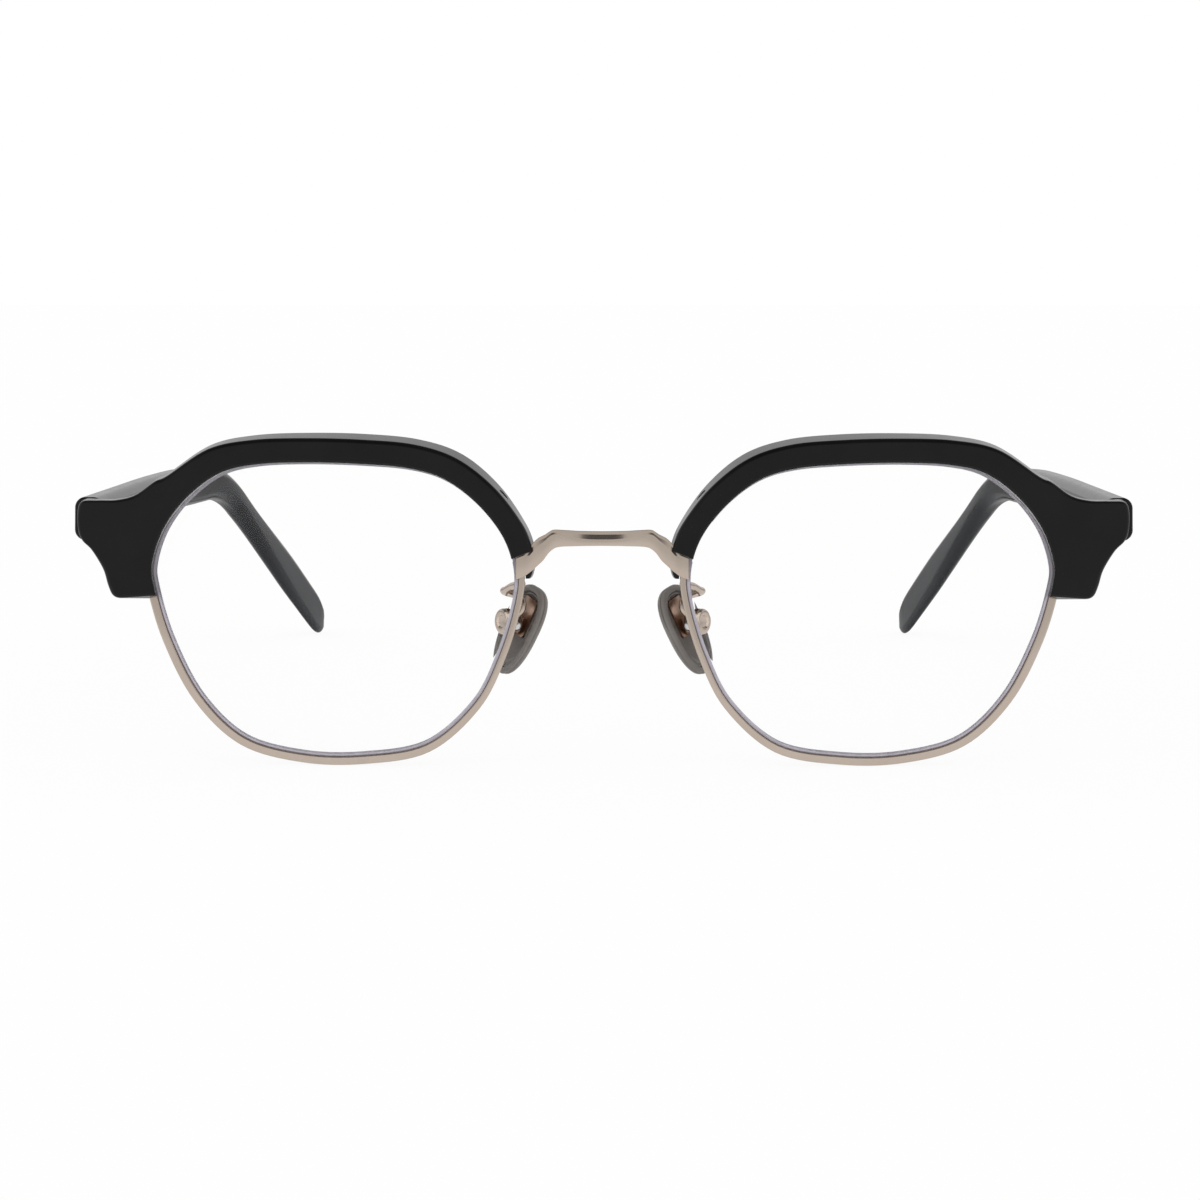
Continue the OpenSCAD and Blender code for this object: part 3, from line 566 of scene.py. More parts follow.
# Darkest and lightest colour, then the range of roughness and the stretch of the grain.
GOLD = plated_metal("champagne_plating", (0.65, 0.545, 0.46), (0.69, 0.585, 0.5))
SILVER = plated_metal("nickel_screw", (0.72, 0.72, 0.73), (0.82, 0.82, 0.82), (0.16, 0.26))
STEEL = plated_metal("core_steel", (0.5, 0.49, 0.48), (0.6, 0.59, 0.57), (0.3, 0.42), (8, 1, 1))
BRONZE = plated_metal("pad_core_bronze", (0.42, 0.29, 0.22), (0.52, 0.37, 0.29), (0.28, 0.4))
ACETATE = black_acetate()
LENS = clear_lens()
LENS_EDGE = lens_edge()
PAD = pad_plastic()


# ---------------------------------------------------------------- lenses
FINE = 8  # samples from one knot of the outline to the next
AROUND = [i / FINE for i in range(LAP * FINE)]
FIT = 0.03  # gap between pieces that lie on each other
SEAT = 0.05  # gap round a piece that is let into another
LENS_SOFT = 0.12
LENS_SHARES = [0.05, 0.2, 0.35, 0.5, 0.65, 0.8, 0.9, 0.96, 0.99]
BEVEL_W = 0.42  # ground bevel on the lens face, widest below and beside
BEVEL_FADE = 1.5
BEVEL_STEP = 0.01  # keeps the bevel's inner edge crisp
RIM_OPEN = 0.3  # how much less the lip covers beside the nose
LENS_OPEN = 0.26  # how much wider the lens is under it


def beside_nose(p):
    """1 where the lens edge faces the nose, 0 where it faces up, down or outwards."""
    return max(0, -lens_out(p)[0]) ** 2


def make_lens():
    """A lens with polished faces, a ground bevel and a ridge for the rim's groove."""
    edge = -(GROOVE_D + SEAT)
    inner = edge - LENS_SOFT
    bevel = GROOVE_W / 2 - SEAT
    half = LENS_T / 2
    # Share of the outline, offset from the lens edge, place front to back.
    layers = [(s, inner, -half) for s in LENS_SHARES]
    layers += [
        (1, inner, -half), (1, inner, -half + BEVEL_STEP), (1, edge, -half + LENS_SOFT),
        (1, edge, -bevel), (1, -FIT, 0), (1, edge, bevel), (1, edge, half - LENS_SOFT),
        (1, inner, half),
    ]
    first, last = len(LENS_SHARES), len(layers) - 1
    layers += [(s, inner, half) for s in reversed(LENS_SHARES)]
    rings = []
    for i, (s, r, n) in enumerate(layers):
        ring = []
        for p in AROUND:
            more = 0
            if i == first:
                above = BEVEL_FADE * max(0, lens_out(p)[1])
                more = -BEVEL_W * max(0, 1 - above) * (1 - beside_nose(p))
            if first + 2 <= i <= first + 3:
                more = LENS_OPEN * beside_nose(p)
            ring.append(in_eye(bent(edge_at(p, r + more) * s, n)))
        rings.append(ring)
    obj = skin("lens_left", rings, [LENS, LENS_EDGE], sharp=30)
    for i in range(first * len(AROUND), last * len(AROUND)):
        obj.data.polygons[i].material_index = 1
    both_sides(obj, "lens", "front")


# ---------------------------------------------------------------- rims
LOCK_P = 1.0  # where the rim is open


def make_rim():
    """A grooved wire round the lens, open where the lock is."""
    gap = RIM_GAP / 2 / np.linalg.norm(lens_at(LOCK_P + 0.5) - lens_at(LOCK_P - 0.5))
    places = [LOCK_P + i / FINE for i in range(1, LAP * FINE)]
    places = [LOCK_P + gap, *places, LOCK_P + LAP - gap]
    half = RIM_D / 2
    # Offset from the lens edge, place front to back, and radius of the corner.
    section = [
        (-0.02, 0, 0.1), (-GROOVE_D, GROOVE_W / 2, 0.06), (-GROOVE_D, half, 0.14),
        (RIM_WALL, half, 0.24), (RIM_WALL, -half, 0.24), (-GROOVE_D, -half, 0.14),
        (-GROOVE_D, -GROOVE_W / 2, 0.06),
    ]
    radii = [s[2] for s in section]
    rings = []
    for p in places:
        opened = RIM_OPEN * beside_nose(p)
        more = [0, 0, 0, 0, 0, opened, opened]
        corners = [bent(edge_at(p, s[0] + m), s[1]) for s, m in zip(section, more)]
        rings.append([in_eye(q) for q in soften(corners, radii, segments=4)])
    obj = skin("rim_left", rings, GOLD, sharp=50)
    even_shading(obj)
    both_sides(obj, "rim", "front")


# ---------------------------------------------------------------- brow bars
RABBET = RIM_WALL + SEAT
LOCK_W = 2.2
POCKET = RIM_WALL + LOCK_W + 2 * SEAT
INNER_SOFT = 0.35
BACK_SOFT = 0.5
# Place on the lens edge, share of the reach, height from the hinge, share of the flare.
LOBE = [
    (-0.22, 0.415, -9.63, 0), (-0.1, 0.5, -9.1, 0), (0.08, 0.56, -7.9, 0.1),
    (0.3, 0.63, -5.9, 0.4), (0.55, 0.79, -3.6, 0.9), (0.75, 0.93, -2.35, 1.2),
    (0.9, 0.99, -1, 1.3), (1.15, 1, 1.4, 1.3), (1.35, 0.935, 2.55, 1.1),
    (1.55, 0.71, 2.7, 0.6), (1.72, 0.435, 2.75, 0.6), (2, 0.17, 3.35, 0.8), (2.4, -0.1, 5, 1),
]
# Place on the lens edge, share of the bar's height, shift back along it, share of the flare.
BAR = [
    (3, 1.33, 0, 1.15), (4, 1.17, 0, 1.2), (5, 1.04, 0, 1.25), (6, 1, 0, 1.35),
    (7, 1, 0, 1.42), (8, 1, 0, 1.3), (9, 0.98, 0, 1.15), (10, 0.96, 0, 0.65),
    (11, 0.96, 0.2, 0.1), (END_P, 0.93, 0.4, 0),
]
BROW_ROWS = [
    (p, LENS_W / 2 + LOBE_REACH * r, HINGE_V + h, BROW_FLARE * f) for p, r, h, f in LOBE
]
for p, h, back, f in BAR:
    q = edge_at(p, BROW_W * h) - lens_along(p) * back
    BROW_ROWS.append((p, q[0], q[1], BROW_FLARE * f))
# The rows between which the bar has a pocket for the lock and the lug.
LOCK_FROM = 3
LOCK_TO = 10
ROW_STEP = 0.125
ROW_TINY = 0.01
# The lobe's lower end: how many rows and how much its edges draw in.
END_ROWS = 0.6
END_SOFT = 0.5


def brow_corners(t):
    """The corners of the bar's section at row t, with the radius of each."""
    p, x, z, flare = along(BROW_ROWS, t)
    out = np.array([x, z])
    inn = edge_at(p, -GROOVE_D - BROW_LIP)
    rabbet = edge_at(p, POCKET if LOCK_FROM < t < LOCK_TO else RABBET)
    e = unit(out - inn)
    less = END_SOFT * (1 - math.sqrt(1 - max(0, 1 - t / END_ROWS) ** 2))
    front, back = BROW_FRONT - less, BROW_BACK - less
    flange = RIM_D / 2 + FIT
    return [
        (milled(rabbet, -flange), 0), (milled(inn, -flange), 0.08),
        (milled(inn, -front), INNER_SOFT), (milled(out - e * less, -front), BROW_ROUND),
        (milled(out + e * (flare - less), back), BACK_SOFT), (milled(rabbet, back), 0.2),
    ]


TONGUE_FACE = -(RIM_D / 2 - 0.12)
# Places past the end of the bar's face, share of the bar's height, how far the back lies
# in front of the bar's back, shift back along the edge.
TONGUE = [
    (0.01, 0.93, 0.1, 0.4), (0.1, 0.9, 0.2, 0.38), (0.2, 0.85, 0.3, 0.35),
    (0.32, 0.75, 0.45, 0.3), (0.43, 0.66, 0.6, 0.2), (0.5, 0.6, 0.75, 0.1),
    (0.55, 0.54, 0.9, 0), (0.59, 0.44, 1.2, 0),
]


def tongue_corners(d, share, less, shift):
    """The corners of the section of the tongue that passes behind the bridge."""
    p, w, back = END_P + d, BROW_W * share, BROW_BACK - less
    s = -lens_along(p) * shift
    # Offset from the lens edge, place front to back, and radius of the corner.
    spots = [
        (RABBET, TONGUE_FACE + 0.7, 0), (RABBET, TONGUE_FACE + 0.1, 0.06),
        (RABBET + 0.1, TONGUE_FACE, 0.06), (w, TONGUE_FACE, 0.45), (w, back, 0.5),
        (RABBET, back, 0.2),
    ]
    return [
        (milled(edge_at(p, r) + s * (r - RABBET) / BROW_W, n), radius) for r, n, radius in spots
    ]


def brow_ring(corners):
    points = soften([c[0] for c in corners], [c[1] for c in corners], segments=6)
    return [in_eye(q) for q in points]


def on_edge(p, q):
    """A point given out from the lens edge, back and along the edge, in the world."""
    x, z = lens_out(p)
    return in_eye(turn_y(np.array(q, float), -math.atan2(z, x)) + milled(lens_at(p), 0))


BROW_SHARP = 42
HOLE_R = 0.8
HOLE_OUT = 4.5
LUG_T = 0.7
HOLE_FLOOR = 0.5  # acetate between the lug and the screw's head


def make_brow():
    """The acetate bar on the rim: the lobe, the bar, and the tongue behind the bridge."""
    last = len(BROW_ROWS) - 1
    rows = [*np.linspace(0, END_ROWS, 7), *np.arange(6 * ROW_STEP, LOCK_FROM, ROW_STEP)]
    rows += [LOCK_FROM, LOCK_FROM + ROW_TINY]
    rows += [*np.arange(LOCK_FROM + ROW_STEP, LOCK_TO, ROW_STEP), LOCK_TO - ROW_TINY, LOCK_TO]
    rows += [*np.arange(LOCK_TO + ROW_STEP, last, ROW_STEP), last]
    rings = [brow_ring(brow_corners(t)) for t in rows]
    rings += [brow_ring(tongue_corners(*row)) for row in TONGUE]
    obj = skin("brow_left", rings, ACETATE, sharp=BROW_SHARP)
    seat = RIM_WALL + LUG_T + SEAT + HOLE_FLOOR
    hole = lathe(
        "hole", [(HOLE_R, seat), (HOLE_R, HOLE_OUT)],
        lambda q: on_edge(SCREW_P, (q[2], q[1], -q[0])), ACETATE, sides=32,
    )
    cut(obj, hole, BROW_SHARP)
    even_shading(obj)
    both_sides(obj, "brow", "front")


# ---------------------------------------------------------------- temples
TIP_R = 3.4
TIP_NOSE = 4.8  # length of the rounded end
TIP_SHARE = 0.42
BEND_R = 23.0
BEND_S = TEMPLE_LEN - TIP_LEN
BEND_HALF = BEND_R * math.tan(TIP_DROP / 2)
ARM_X = BARREL_D / 2 + 0.2 + TEMPLE_T / 2  # from the hinge's line to the temple's middle
TEMPLE_ROUND = 1.25
ROUND_SHARE = 0.48  # the most of a side that one corner's rounding takes
# The inward curl starts before the bend, and eases in over a length.
CURL_BEFORE = 22
CURL_EASE = 12
CURL_POWER = 0.95
# The sides' crown grows from one share to the other as the temple bends.
CROWN = 0.03
CROWN_MORE = 0.15
CROWN_BEFORE = 30
CROWN_OVER = 40
# Distance from the hinge, height, thickness, lift above the hinge's level.
TEMPLE_ROWS = [
    (0, TEMPLE_H, TEMPLE_T, 0.45),
    (9, TEMPLE_H * 1.02, TEMPLE_T * 0.98, 0.4),
    (28, TEMPLE_H * 1.04, TEMPLE_T * 0.95, 0.35),
    (BEND_S * 0.47, TEMPLE_H * 1.05, TEMPLE_T * 0.94, 0.32),
    (BEND_S - 36, TEMPLE_H * 1.05, TEMPLE_T * 0.95, 0.18),
    (BEND_S - 18, TEMPLE_H * 1.02, TEMPLE_T, 0),
    (BEND_S - 5, TEMPLE_H * 0.9, TEMPLE_T * 1.03, 0),
    (BEND_S + 6, TEMPLE_H * 0.79, TEMPLE_T, 0),
    (BEND_S + 14, TEMPLE_H * 0.88, TEMPLE_T * 0.86, 0.1),
    (TEMPLE_LEN - 18, TEMPLE_H * 1.24, TEMPLE_T * 0.63, 0.1),
    (TEMPLE_LEN - TIP_R, 2 * TIP_R, TEMPLE_T * TIP_SHARE, 0),
]


def spine(s):
    """Place and drop of the temple's middle line at distance s: y, z, angle."""
    a = TIP_DROP * max(0, min(1, (s - BEND_S + BEND_HALF) / (2 * BEND_HALF)))
    if s <= BEND_S - BEND_HALF:
        return s, 0.0, a
    if s >= BEND_S + BEND_HALF:
        past = s - BEND_S
        return BEND_S + past * math.cos(TIP_DROP), -past * math.sin(TIP_DROP), a
    return BEND_S - BEND_HALF + BEND_R * math.sin(a), BEND_R * (math.cos(a) - 1), a


def ease(s):
    """0 up to where the curl starts, then rising ever more nearly straight."""
    past = max(0, s - BEND_S + CURL_BEFORE)
    return past * past / (past + CURL_EASE)


def curl(s):
    """How far the temple has curled inwards at distance s."""
    return TIP_IN * (ease(s) / ease(TEMPLE_LEN)) ** CURL_POWER


def temple_section(s, w, h, up=0.0, radius=TEMPLE_ROUND):
    """A section w thick and h high at distance s, raised by up."""
    y, z, a = spine(s)
    x = ARM_X - math.tan(TOE_IN) * s - curl(s)
    signs = ((1, 1), (-1, 1), (-1, -1), (1, -1))
    flat = [np.array([i * w / 2, j * h / 2, 0]) for i, j in signs]
    radius = min(radius, ROUND_SHARE * w, ROUND_SHARE * h)
    crown = CROWN + CROWN_MORE * max(0, min(1, (s - BEND_S + CROWN_BEFORE) / CROWN_OVER))
    ring = []
    for q in soften(flat, [radius] * 4, segments=7):
        q = q * (1 - crown * (2 * q[1] / h) ** 2, 1 - crown * (2 * q[0] / w) ** 2, 0)
        v = q[1] + up
        ring.append(np.array([x + q[0], y + v * math.sin(a), z + v * math.cos(a)]))
    return ring


def lobe_spot(u, v):
    """A point on the lobe's back, in the temple's frame."""
    return to_temple(in_eye(milled((u, v), BROW_BACK)))


# Three points on the lobe's back give its plane, for the temple's end to lie along.
LOBE_A = lobe_spot(HINGE_U + 1.5, HINGE_V)
LOBE_B = lobe_spot(HINGE_U + 4.5, HINGE_V)
LOBE_C = lobe_spot(HINGE_U + 3, HINGE_V + 2.5)
LOBE_N = np.cross(LOBE_B - LOBE_A, LOBE_C - LOBE_A)
JOINT_GAP = 0.12


def on_lobe(q, more):
    """The point beside q that lies along the lobe's back, with the gap and more."""
    slope = LOBE_N[0] * (q[0] - LOBE_A[0]) + LOBE_N[2] * (q[2] - LOBE_A[2])
    return np.array([q[0], LOBE_A[1] + JOINT_GAP + more - slope / LOBE_N[1], q[2]])


TEMPLE_SHARP = 60
TEMPLE_STEP = 0.0625
HEAD_SOFT = 0.3
HEAD_LEN = 3  # no sections this near the hinge, where the head lies along the lobe
TIP_ANGLES = [10, 20, 30, 40, 50, 60, 69, 77, 84, 88]
TIP_POWERS = (0.45, 0.65)  # of the thickness and the height, as the tip rounds off
# The recess for the hinge's leaf, from the hinge's line on the temple's inner face.
LEAF_LOW = (-1, -4, -1.75)
LEAF_HIGH = (1.05, 9.05, 1.75)


def make_temple():
    """A temple with its head along the lobe's back, and the recess for the hinge's leaf."""
    last = len(TEMPLE_ROWS) - 1
    rings = []
    for a in np.linspace(0, math.pi / 2, 5):
        draw = HEAD_SOFT * (1 - math.sin(a))
        w, h = TEMPLE_T - 2 * draw, TEMPLE_H - 2 * draw
        ring = temple_section(0, w, h, TEMPLE_ROWS[0][3], TEMPLE_ROUND - draw)
        rings.append([on_lobe(q, HEAD_SOFT * (1 - math.cos(a))) for q in ring])
    for t in np.arange(TEMPLE_STEP, last + 1e-6, TEMPLE_STEP):
        s, h, w, up = along(TEMPLE_ROWS, t)
        if HEAD_LEN < s < TEMPLE_LEN - TIP_NOSE:
            rings.append(temple_section(s, w, h, up))
    for a in np.radians(TIP_ANGLES):
        s = TEMPLE_LEN - TIP_NOSE + TIP_NOSE * math.sin(a)
        w, h = (math.cos(a) ** power for power in TIP_POWERS)
        rings.append(temple_section(s, TEMPLE_T * TIP_SHARE * w, 2 * TIP_R * h))
    rings = [[in_temple(q) for q in r] for r in rings]
    obj = skin("temple_left", rings, ACETATE, sharp=TEMPLE_SHARP)
    inner_face = (ARM_X - TEMPLE_T / 2, 0, 0)
    leaf = box_at(
        "leaf", LEAF_LOW, LEAF_HIGH, lambda q: in_temple(turn_z(q, TOE_IN) + inner_face), ACETATE
    )
    cut(obj, leaf, TEMPLE_SHARP)
    even_shading(obj)
    both_sides(obj, "temple", "temple")


CORE_T = 1.1
CORE_H = 2.4
CORE_FROM = 0.4
CORE_END = BEND_S + TIP_LEN * 0.55
CORE_UP = 0.1
CORE_ROUND = 0.4
CORE_SECTIONS = 70
# Distance from the hinge, thickness and height of the temple's core.
CORE_ROWS = [
    (0, CORE_T, CORE_H), (BEND_S - BEND_HALF, CORE_T * 0.95, CORE_H * 0.9),
    (CORE_END, CORE_T * 0.7, CORE_H * 0.55),
]


def make_temple_core():
    """The metal core follows the middle of the temple all the way."""
    stops, thick, high = zip(*CORE_ROWS)
    rings = []
    for s in np.linspace(CORE_FROM, CORE_END, CORE_SECTIONS):
        w, h = np.interp(s, stops, thick), np.interp(s, stops, high)
        rings.append([in_temple(q) for q in temple_section(s, w, h, CORE_UP, CORE_ROUND)])
    both_sides(skin("temple_core_left", rings, STEEL), "temple_core", "temple")


# ---------------------------------------------------------------- bridge
# Distance from the nasal lens edge, top and bottom from the end of the brow bar's face,
# share of the step forward, width of the band along the top, how far the band lies back
# from the face.
BRIDGE = [
    (0.34, 0.02, -2.7, 0, 0.5, 0), (-0.2, 0.22, -2.5, 0, 0.5, 0),
    (-0.75, 0.47, -2.26, 0, 0.6, 0.03), (-1.25, 1.05, -1.9, 0.05, 0.8, 0.08),
    (-1.75, 1.85, -1.5, 0.35, 1.05, 0.16), (-2.4, 2.5, -0.9, 0.75, 1, 0.22),
    (-3, 2.83, -0.35, 0.95, 0.85, 0.2), (-3.34, 2.99, 0.1, 1, 0.74, 0.18),
    (-3.75, 3.27, 0.65, 1, 0.64, 0.2), (-4.2, 3.54, 1.05, 1, 0.6, 0.16),
    (-4.7, 3.6, 1.33, 1, 0.6, 0.06), (-5.5, 3.56, 1.46, 1, 0.66, 0),
    (-6.6, 3.5, 1.5, 1, 0.8, 0), (-7.4, 3.45, 1.52, 1, 0.9, 0.08),
    (-8.2, 3.43, 1.54, 1, 0.98, 0.24), (-9.2, 3.41, 1.55, 1, 1.03, 0.36),
]
BAR_MIDDLE = (3.4, 1.56, 1, 1.03, 0.36)  # the same, without the distance, at the middle
BAND_LIP = 0.42  # height of the lip along the top
LIP_SHARE = 0.6  # the most of the band that the lip takes
BRIDGE_STEP = 0.2
BRIDGE_V = lens_at(END_P)[1]


def rim_front(p):
    """How far back the rim's front lies at place p."""
    return turn_z(bent(edge_at(p, RIM_WALL), -RIM_D / 2), WRAP)[1]


# The bridge's plate lies on the foremost place of the rim that it covers.
PLATE_PLACES = np.arange(11.6, 12.31, 0.1)
PLATE_Y = min(rim_front(p) for p in PLATE_PLACES) - FIT


def bridge_ring(x, top, low, bar, band, back):
    """A flat lip along the top, a slope forward below it, and the flat face."""
    zt, zb = BRIDGE_V + top, BRIDGE_V + low
    f = PLATE_Y - BRIDGE_T - BAR_STEP * bar
    lip = min(BAND_LIP, LIP_SHARE * band)
    corners = [
        ((PLATE_Y, zb), 0.1), ((PLATE_Y, zt), 0.1), ((f + back, zt), 0.06),
        ((f + back, zt - lip), 0.06), ((f, zt - band), 0.05), ((f, zb), 0.14),
    ]
    ring = [np.array((x, *q)) for q, r in corners]
    points = soften(ring, [r for q, r in corners], segments=4)
    return [in_front(q) for q in points]


def make_bridge():
    """One plate from rim to rim, stepped forward and up to the bar in the middle."""
    half = [(BRIDGE_GAP / 2 + row[0], *row[1:]) for row in BRIDGE] + [(0, *BAR_MIDDLE)]
    stations = half + [(-row[0], *row[1:]) for row in reversed(half[:-1])]
    rings = []
    for t in np.arange(0, len(stations) - 1 + 1e-6, BRIDGE_STEP):
        x, top, low, bar, band, back = along(stations, t)
        rings.append(bridge_ring(x, top, low, min(1, max(0, bar)), band, max(0, back)))
    obj = skin("bridge", rings, GOLD, sharp=35)
    even_shading(obj)
    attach(obj, "front")
    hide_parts("bridge")


# ---------------------------------------------------------------- nose pads and arms
PAD_FLOOR = -1.6  # bottom of the pad's recess, from the pad screw
PAD_DROP = 0.75
PAD_LIP = 0.4
PAD_TAPER = 0.16
PAD_SIDES = 72
PAD_POWER = 0.8  # below 1 the outline is fuller than an ellipse
PAD_TOP_POWER = 0.88
PAD_SHARP = 50
BOX_D = 3.3
BOX_LOW = -0.75
BOX_TOP = 1.6
BOX_SHARP = 45
TAB_T = 1.0
TAB_R = 1.0
PAD_CORE_W = 2.9
PAD_CORE_LOW = -1.35
PAD_CORE_TOP = 3.7
PAD_CORE_ARCH = 0.26
PAD_CORE_DEEP = 0.4
PAD_CORE_OPEN = -0.9  # the core's seat is cut out to here, past the lip
# Height on the pad and share of the width of the pad's core.
PAD_CORE_ROWS = [
    (PAD_CORE_LOW, 0.8), (PAD_CORE_LOW + 0.12, 0.94), (PAD_CORE_LOW + 0.35, 1),
    (PAD_CORE_TOP - 0.6, 1), (PAD_CORE_TOP - 0.2, 0.93), (PAD_CORE_TOP, 0.75),
]
ARM_P = 12.35  # place of the arm's root on the lens edge
ARM_OUT = 0.1
ARM_SIDES = 20
ARM_STEPS = 8
ARM_FLARE = 0.5  # the wire widens where it is soldered to the rim
ARM_FLARE_STEPS = 5
# The arm's way: first from the rim, then from the pad's screw.
ARM_FROM_RIM = [(0, 0.03, 0), (0.4, 1, -0.2), (1.1, 2.1, -0.4)]
ARM_FROM_BOX = [
    (0.6, -0.5, 3.95), (0.9, 0.4, 3.85), (0.55, 1.05, 3.65),
    (-0.2, 0.75, 3.45), (-0.95, -0.3, 3.05), (-1.5, -1.35, 2.4),
    (-1.45, -1.75, 1.6), (-1, -1.5, 1), (-0.6, -1, 0.65),
]


def signed_power(v, power):
    return math.copysign(abs(v) ** power, v)


def pad_ring(margin, x):
    """The pad's rounded outline, drawn in by a margin."""
    ring = []
    for a in np.linspace(0, 2 * math.pi, PAD_SIDES, endpoint=False):
        c, s = math.cos(a), math.sin(a)
        y = (PAD_W / 2 - margin) * signed_power(c, PAD_POWER) * (1 + PAD_TAPER * s)
        z = (PAD_LEN / 2 - margin) * signed_power(s, PAD_TOP_POWER if s > 0 else PAD_POWER)
        ring.append(in_pad(np.array([x, y, z - PAD_DROP])))
    return ring


def make_nose_pad():
    """A moulded pad with a lip round the recess that the metal core lies in."""
    floor = PAD_FLOOR
    top = floor + PAD_LIP
    low = top - PAD_T
    # Margin and height: the recess, its bead and notch, the lip, the side's groove, the back.
    profile = [
        (3.2, floor - 0.25), (2.2, floor - 0.25), (1.6, floor - 0.2), (1.36, floor - 0.12),
        (1.26, floor + 0.02), (1.18, floor + 0.06), (1.06, floor + 0.04), (0.99, floor - 0.12),
        (0.93, floor - 0.12), (0.87, top - 0.14), (0.8, top - 0.03), (0.66, top),
        (0.42, top - 0.02), (0.25, top - 0.08), (0.12, top - 0.2), (0.06, top - 0.42),
        (0.26, top - 0.52), (0.28, top - 0.62), (0.15, top - 0.72), (0.14, top - 0.92),
        (0.2, low + 0.6), (0.35, low + 0.4), (0.6, low + 0.24), (0.95, low + 0.14),
        (1.4, low + 0.06), (2.2, low), (3.2, low),
    ]
    obj = skin("nose_pad_left", [pad_ring(m, x) for m, x in profile], PAD, sharp=60)
    half = PAD_CORE_W / 2 + SEAT
    seat_low = (floor - PAD_CORE_DEEP - SEAT, -half, PAD_CORE_LOW - SEAT)
    seat_high = (PAD_CORE_OPEN, half, PAD_CORE_TOP + SEAT)
    cut(obj, box_at("core_seat", seat_low, seat_high, in_pad, PAD), PAD_SHARP)
    both_sides(obj, "nose_pad", "pad")


def make_pad_core():
    """The metal plate in the pad, arched across, with the tab that the pad screw holds."""
    rings = []
    half = PAD_CORE_W / 2
    for z, w in PAD_CORE_ROWS:
        across = np.linspace(-half * w, half * w, 13)
        arch = [(PAD_FLOOR + PAD_CORE_ARCH * (1 - (y / half) ** 2), y, z) for y in across]
        flat = [(PAD_FLOOR - PAD_CORE_DEEP, y, z) for y in reversed(across)]
        rings.append([in_pad(np.array(q)) for q in arch + flat])
    core = skin("pad_core_left", rings, BRONZE, sharp=PAD_SHARP)
    root = PAD_FLOOR + 0.1
    outline = [(TAB_R * math.sin(a), TAB_R * math.cos(a)) for a in np.linspace(0, math.pi, 17)]
    outline = [(root, TAB_R), *outline, (root, -TAB_R)]
    sides = [[in_pad(np.array([x, y, z])) for x, z in outline] for y in (-TAB_T / 2, TAB_T / 2)]
    join(core, skin("tab", sides, BRONZE, sharp=PAD_SHARP), PAD_SHARP)
    both_sides(core, "pad_core", "pad")


def make_pad_screw():
    """The screw through the box that the pad rocks on."""
    half = BOX_D / 2
    profile = [
        (0.25, -half - 0.42), (0.42, -half - 0.38), (0.54, -half - 0.25),
        (0.56, -half - 0.05), (0.46, -half - 0.02), (0.46, half + 0.02), (0.4, half + 0.08),
    ]
    screw = lathe(
        "pad_screw_left", profile, lambda q: in_clip(np.array([q[0], q[2], q[1]])),
        SILVER, sides=32, sharp=BOX_SHARP,
    )
    both_sides(screw, "pad_screw", "front")


def frames_along(path, up):
    """Two directions square to the path at each of its points, without twist."""
    frames = []
    for i in range(len(path)):
        d = unit(path[min(i + 1, len(path) - 1)] - path[max(i - 1, 0)])
        up = unit(up - d * (up @ d))
        frames.append((up, np.cross(d, up)))
    return frames


def make_pad_arm():
    """The wire that carries a pad, and the turned box on its end."""
    start = turn_z(bent(edge_at(ARM_P, ARM_OUT), RIM_D / 2), WRAP) + (EYE_X, 0, 0)
    way = [start + q for q in np.array(ARM_FROM_RIM)]
    way += [PAD_AT + q for q in np.array(ARM_FROM_BOX)]
    path = spread(way, ARM_STEPS)
    rings = []
    for i, (a, b) in enumerate(frames_along(path, np.array([0, 0, 1.0]))):
        r = ARM_D / 2 * (1 + ARM_FLARE * max(0, 1 - i / ARM_FLARE_STEPS) ** 2)
        rings.append([
            in_front(path[i] + r * (math.cos(t) * a - math.sin(t) * b))
            for t in np.linspace(0, 2 * math.pi, ARM_SIDES, endpoint=False)
        ])
    wire = skin("pad_arm_left", rings, GOLD, sharp=60)
    r = BOX_D / 2
    profile = [
        (r - 0.12, BOX_LOW), (r, BOX_LOW + 0.12), (r, BOX_TOP - 0.35), (r - 0.06, BOX_TOP - 0.2),
        (r - 0.2, BOX_TOP - 0.07), (r - 0.35, BOX_TOP), (0.9, BOX_TOP), (0.82, BOX_TOP - 0.05),
        (0.7, BOX_TOP - 0.2), (0.3, BOX_TOP - 0.24),
    ]
    box = lathe(
        "box", profile, lambda q: in_clip(np.array([q[2], q[1], -q[0]])),
        GOLD, sides=48, sharp=BOX_SHARP,
    )
    # The slot for the tab opens at the box's low side and both of its ends.
    slot = TAB_T / 2 + SEAT
    slot_end = TAB_R + 0.08
    cutter = box_at("slot", (BOX_LOW - 2, -slot, -3), (slot_end, slot, 3), in_clip, GOLD)
    cut(box, cutter, BOX_SHARP)
    join(wire, box, BOX_SHARP)
    both_sides(wire, "pad_arm", "front")


# ---------------------------------------------------------------- CAD pieces that stay
CAD_FINISH = {
    "gold": GOLD, "screw": SILVER, "steel": STEEL, "bronze": BRONZE, "acetate": ACETATE,
    "lens": LENS, "pad": PAD,
}
REMADE = (
    "lens", "rim", "brow", "temple", "temple_core", "pad_arm", "nose_pad", "pad_core", "pad_screw",
)
WELD_DISTANCE = 1e-6  # metres
EDGE_BREAK = 0.05
EDGE_ANGLE = math.radians(35)


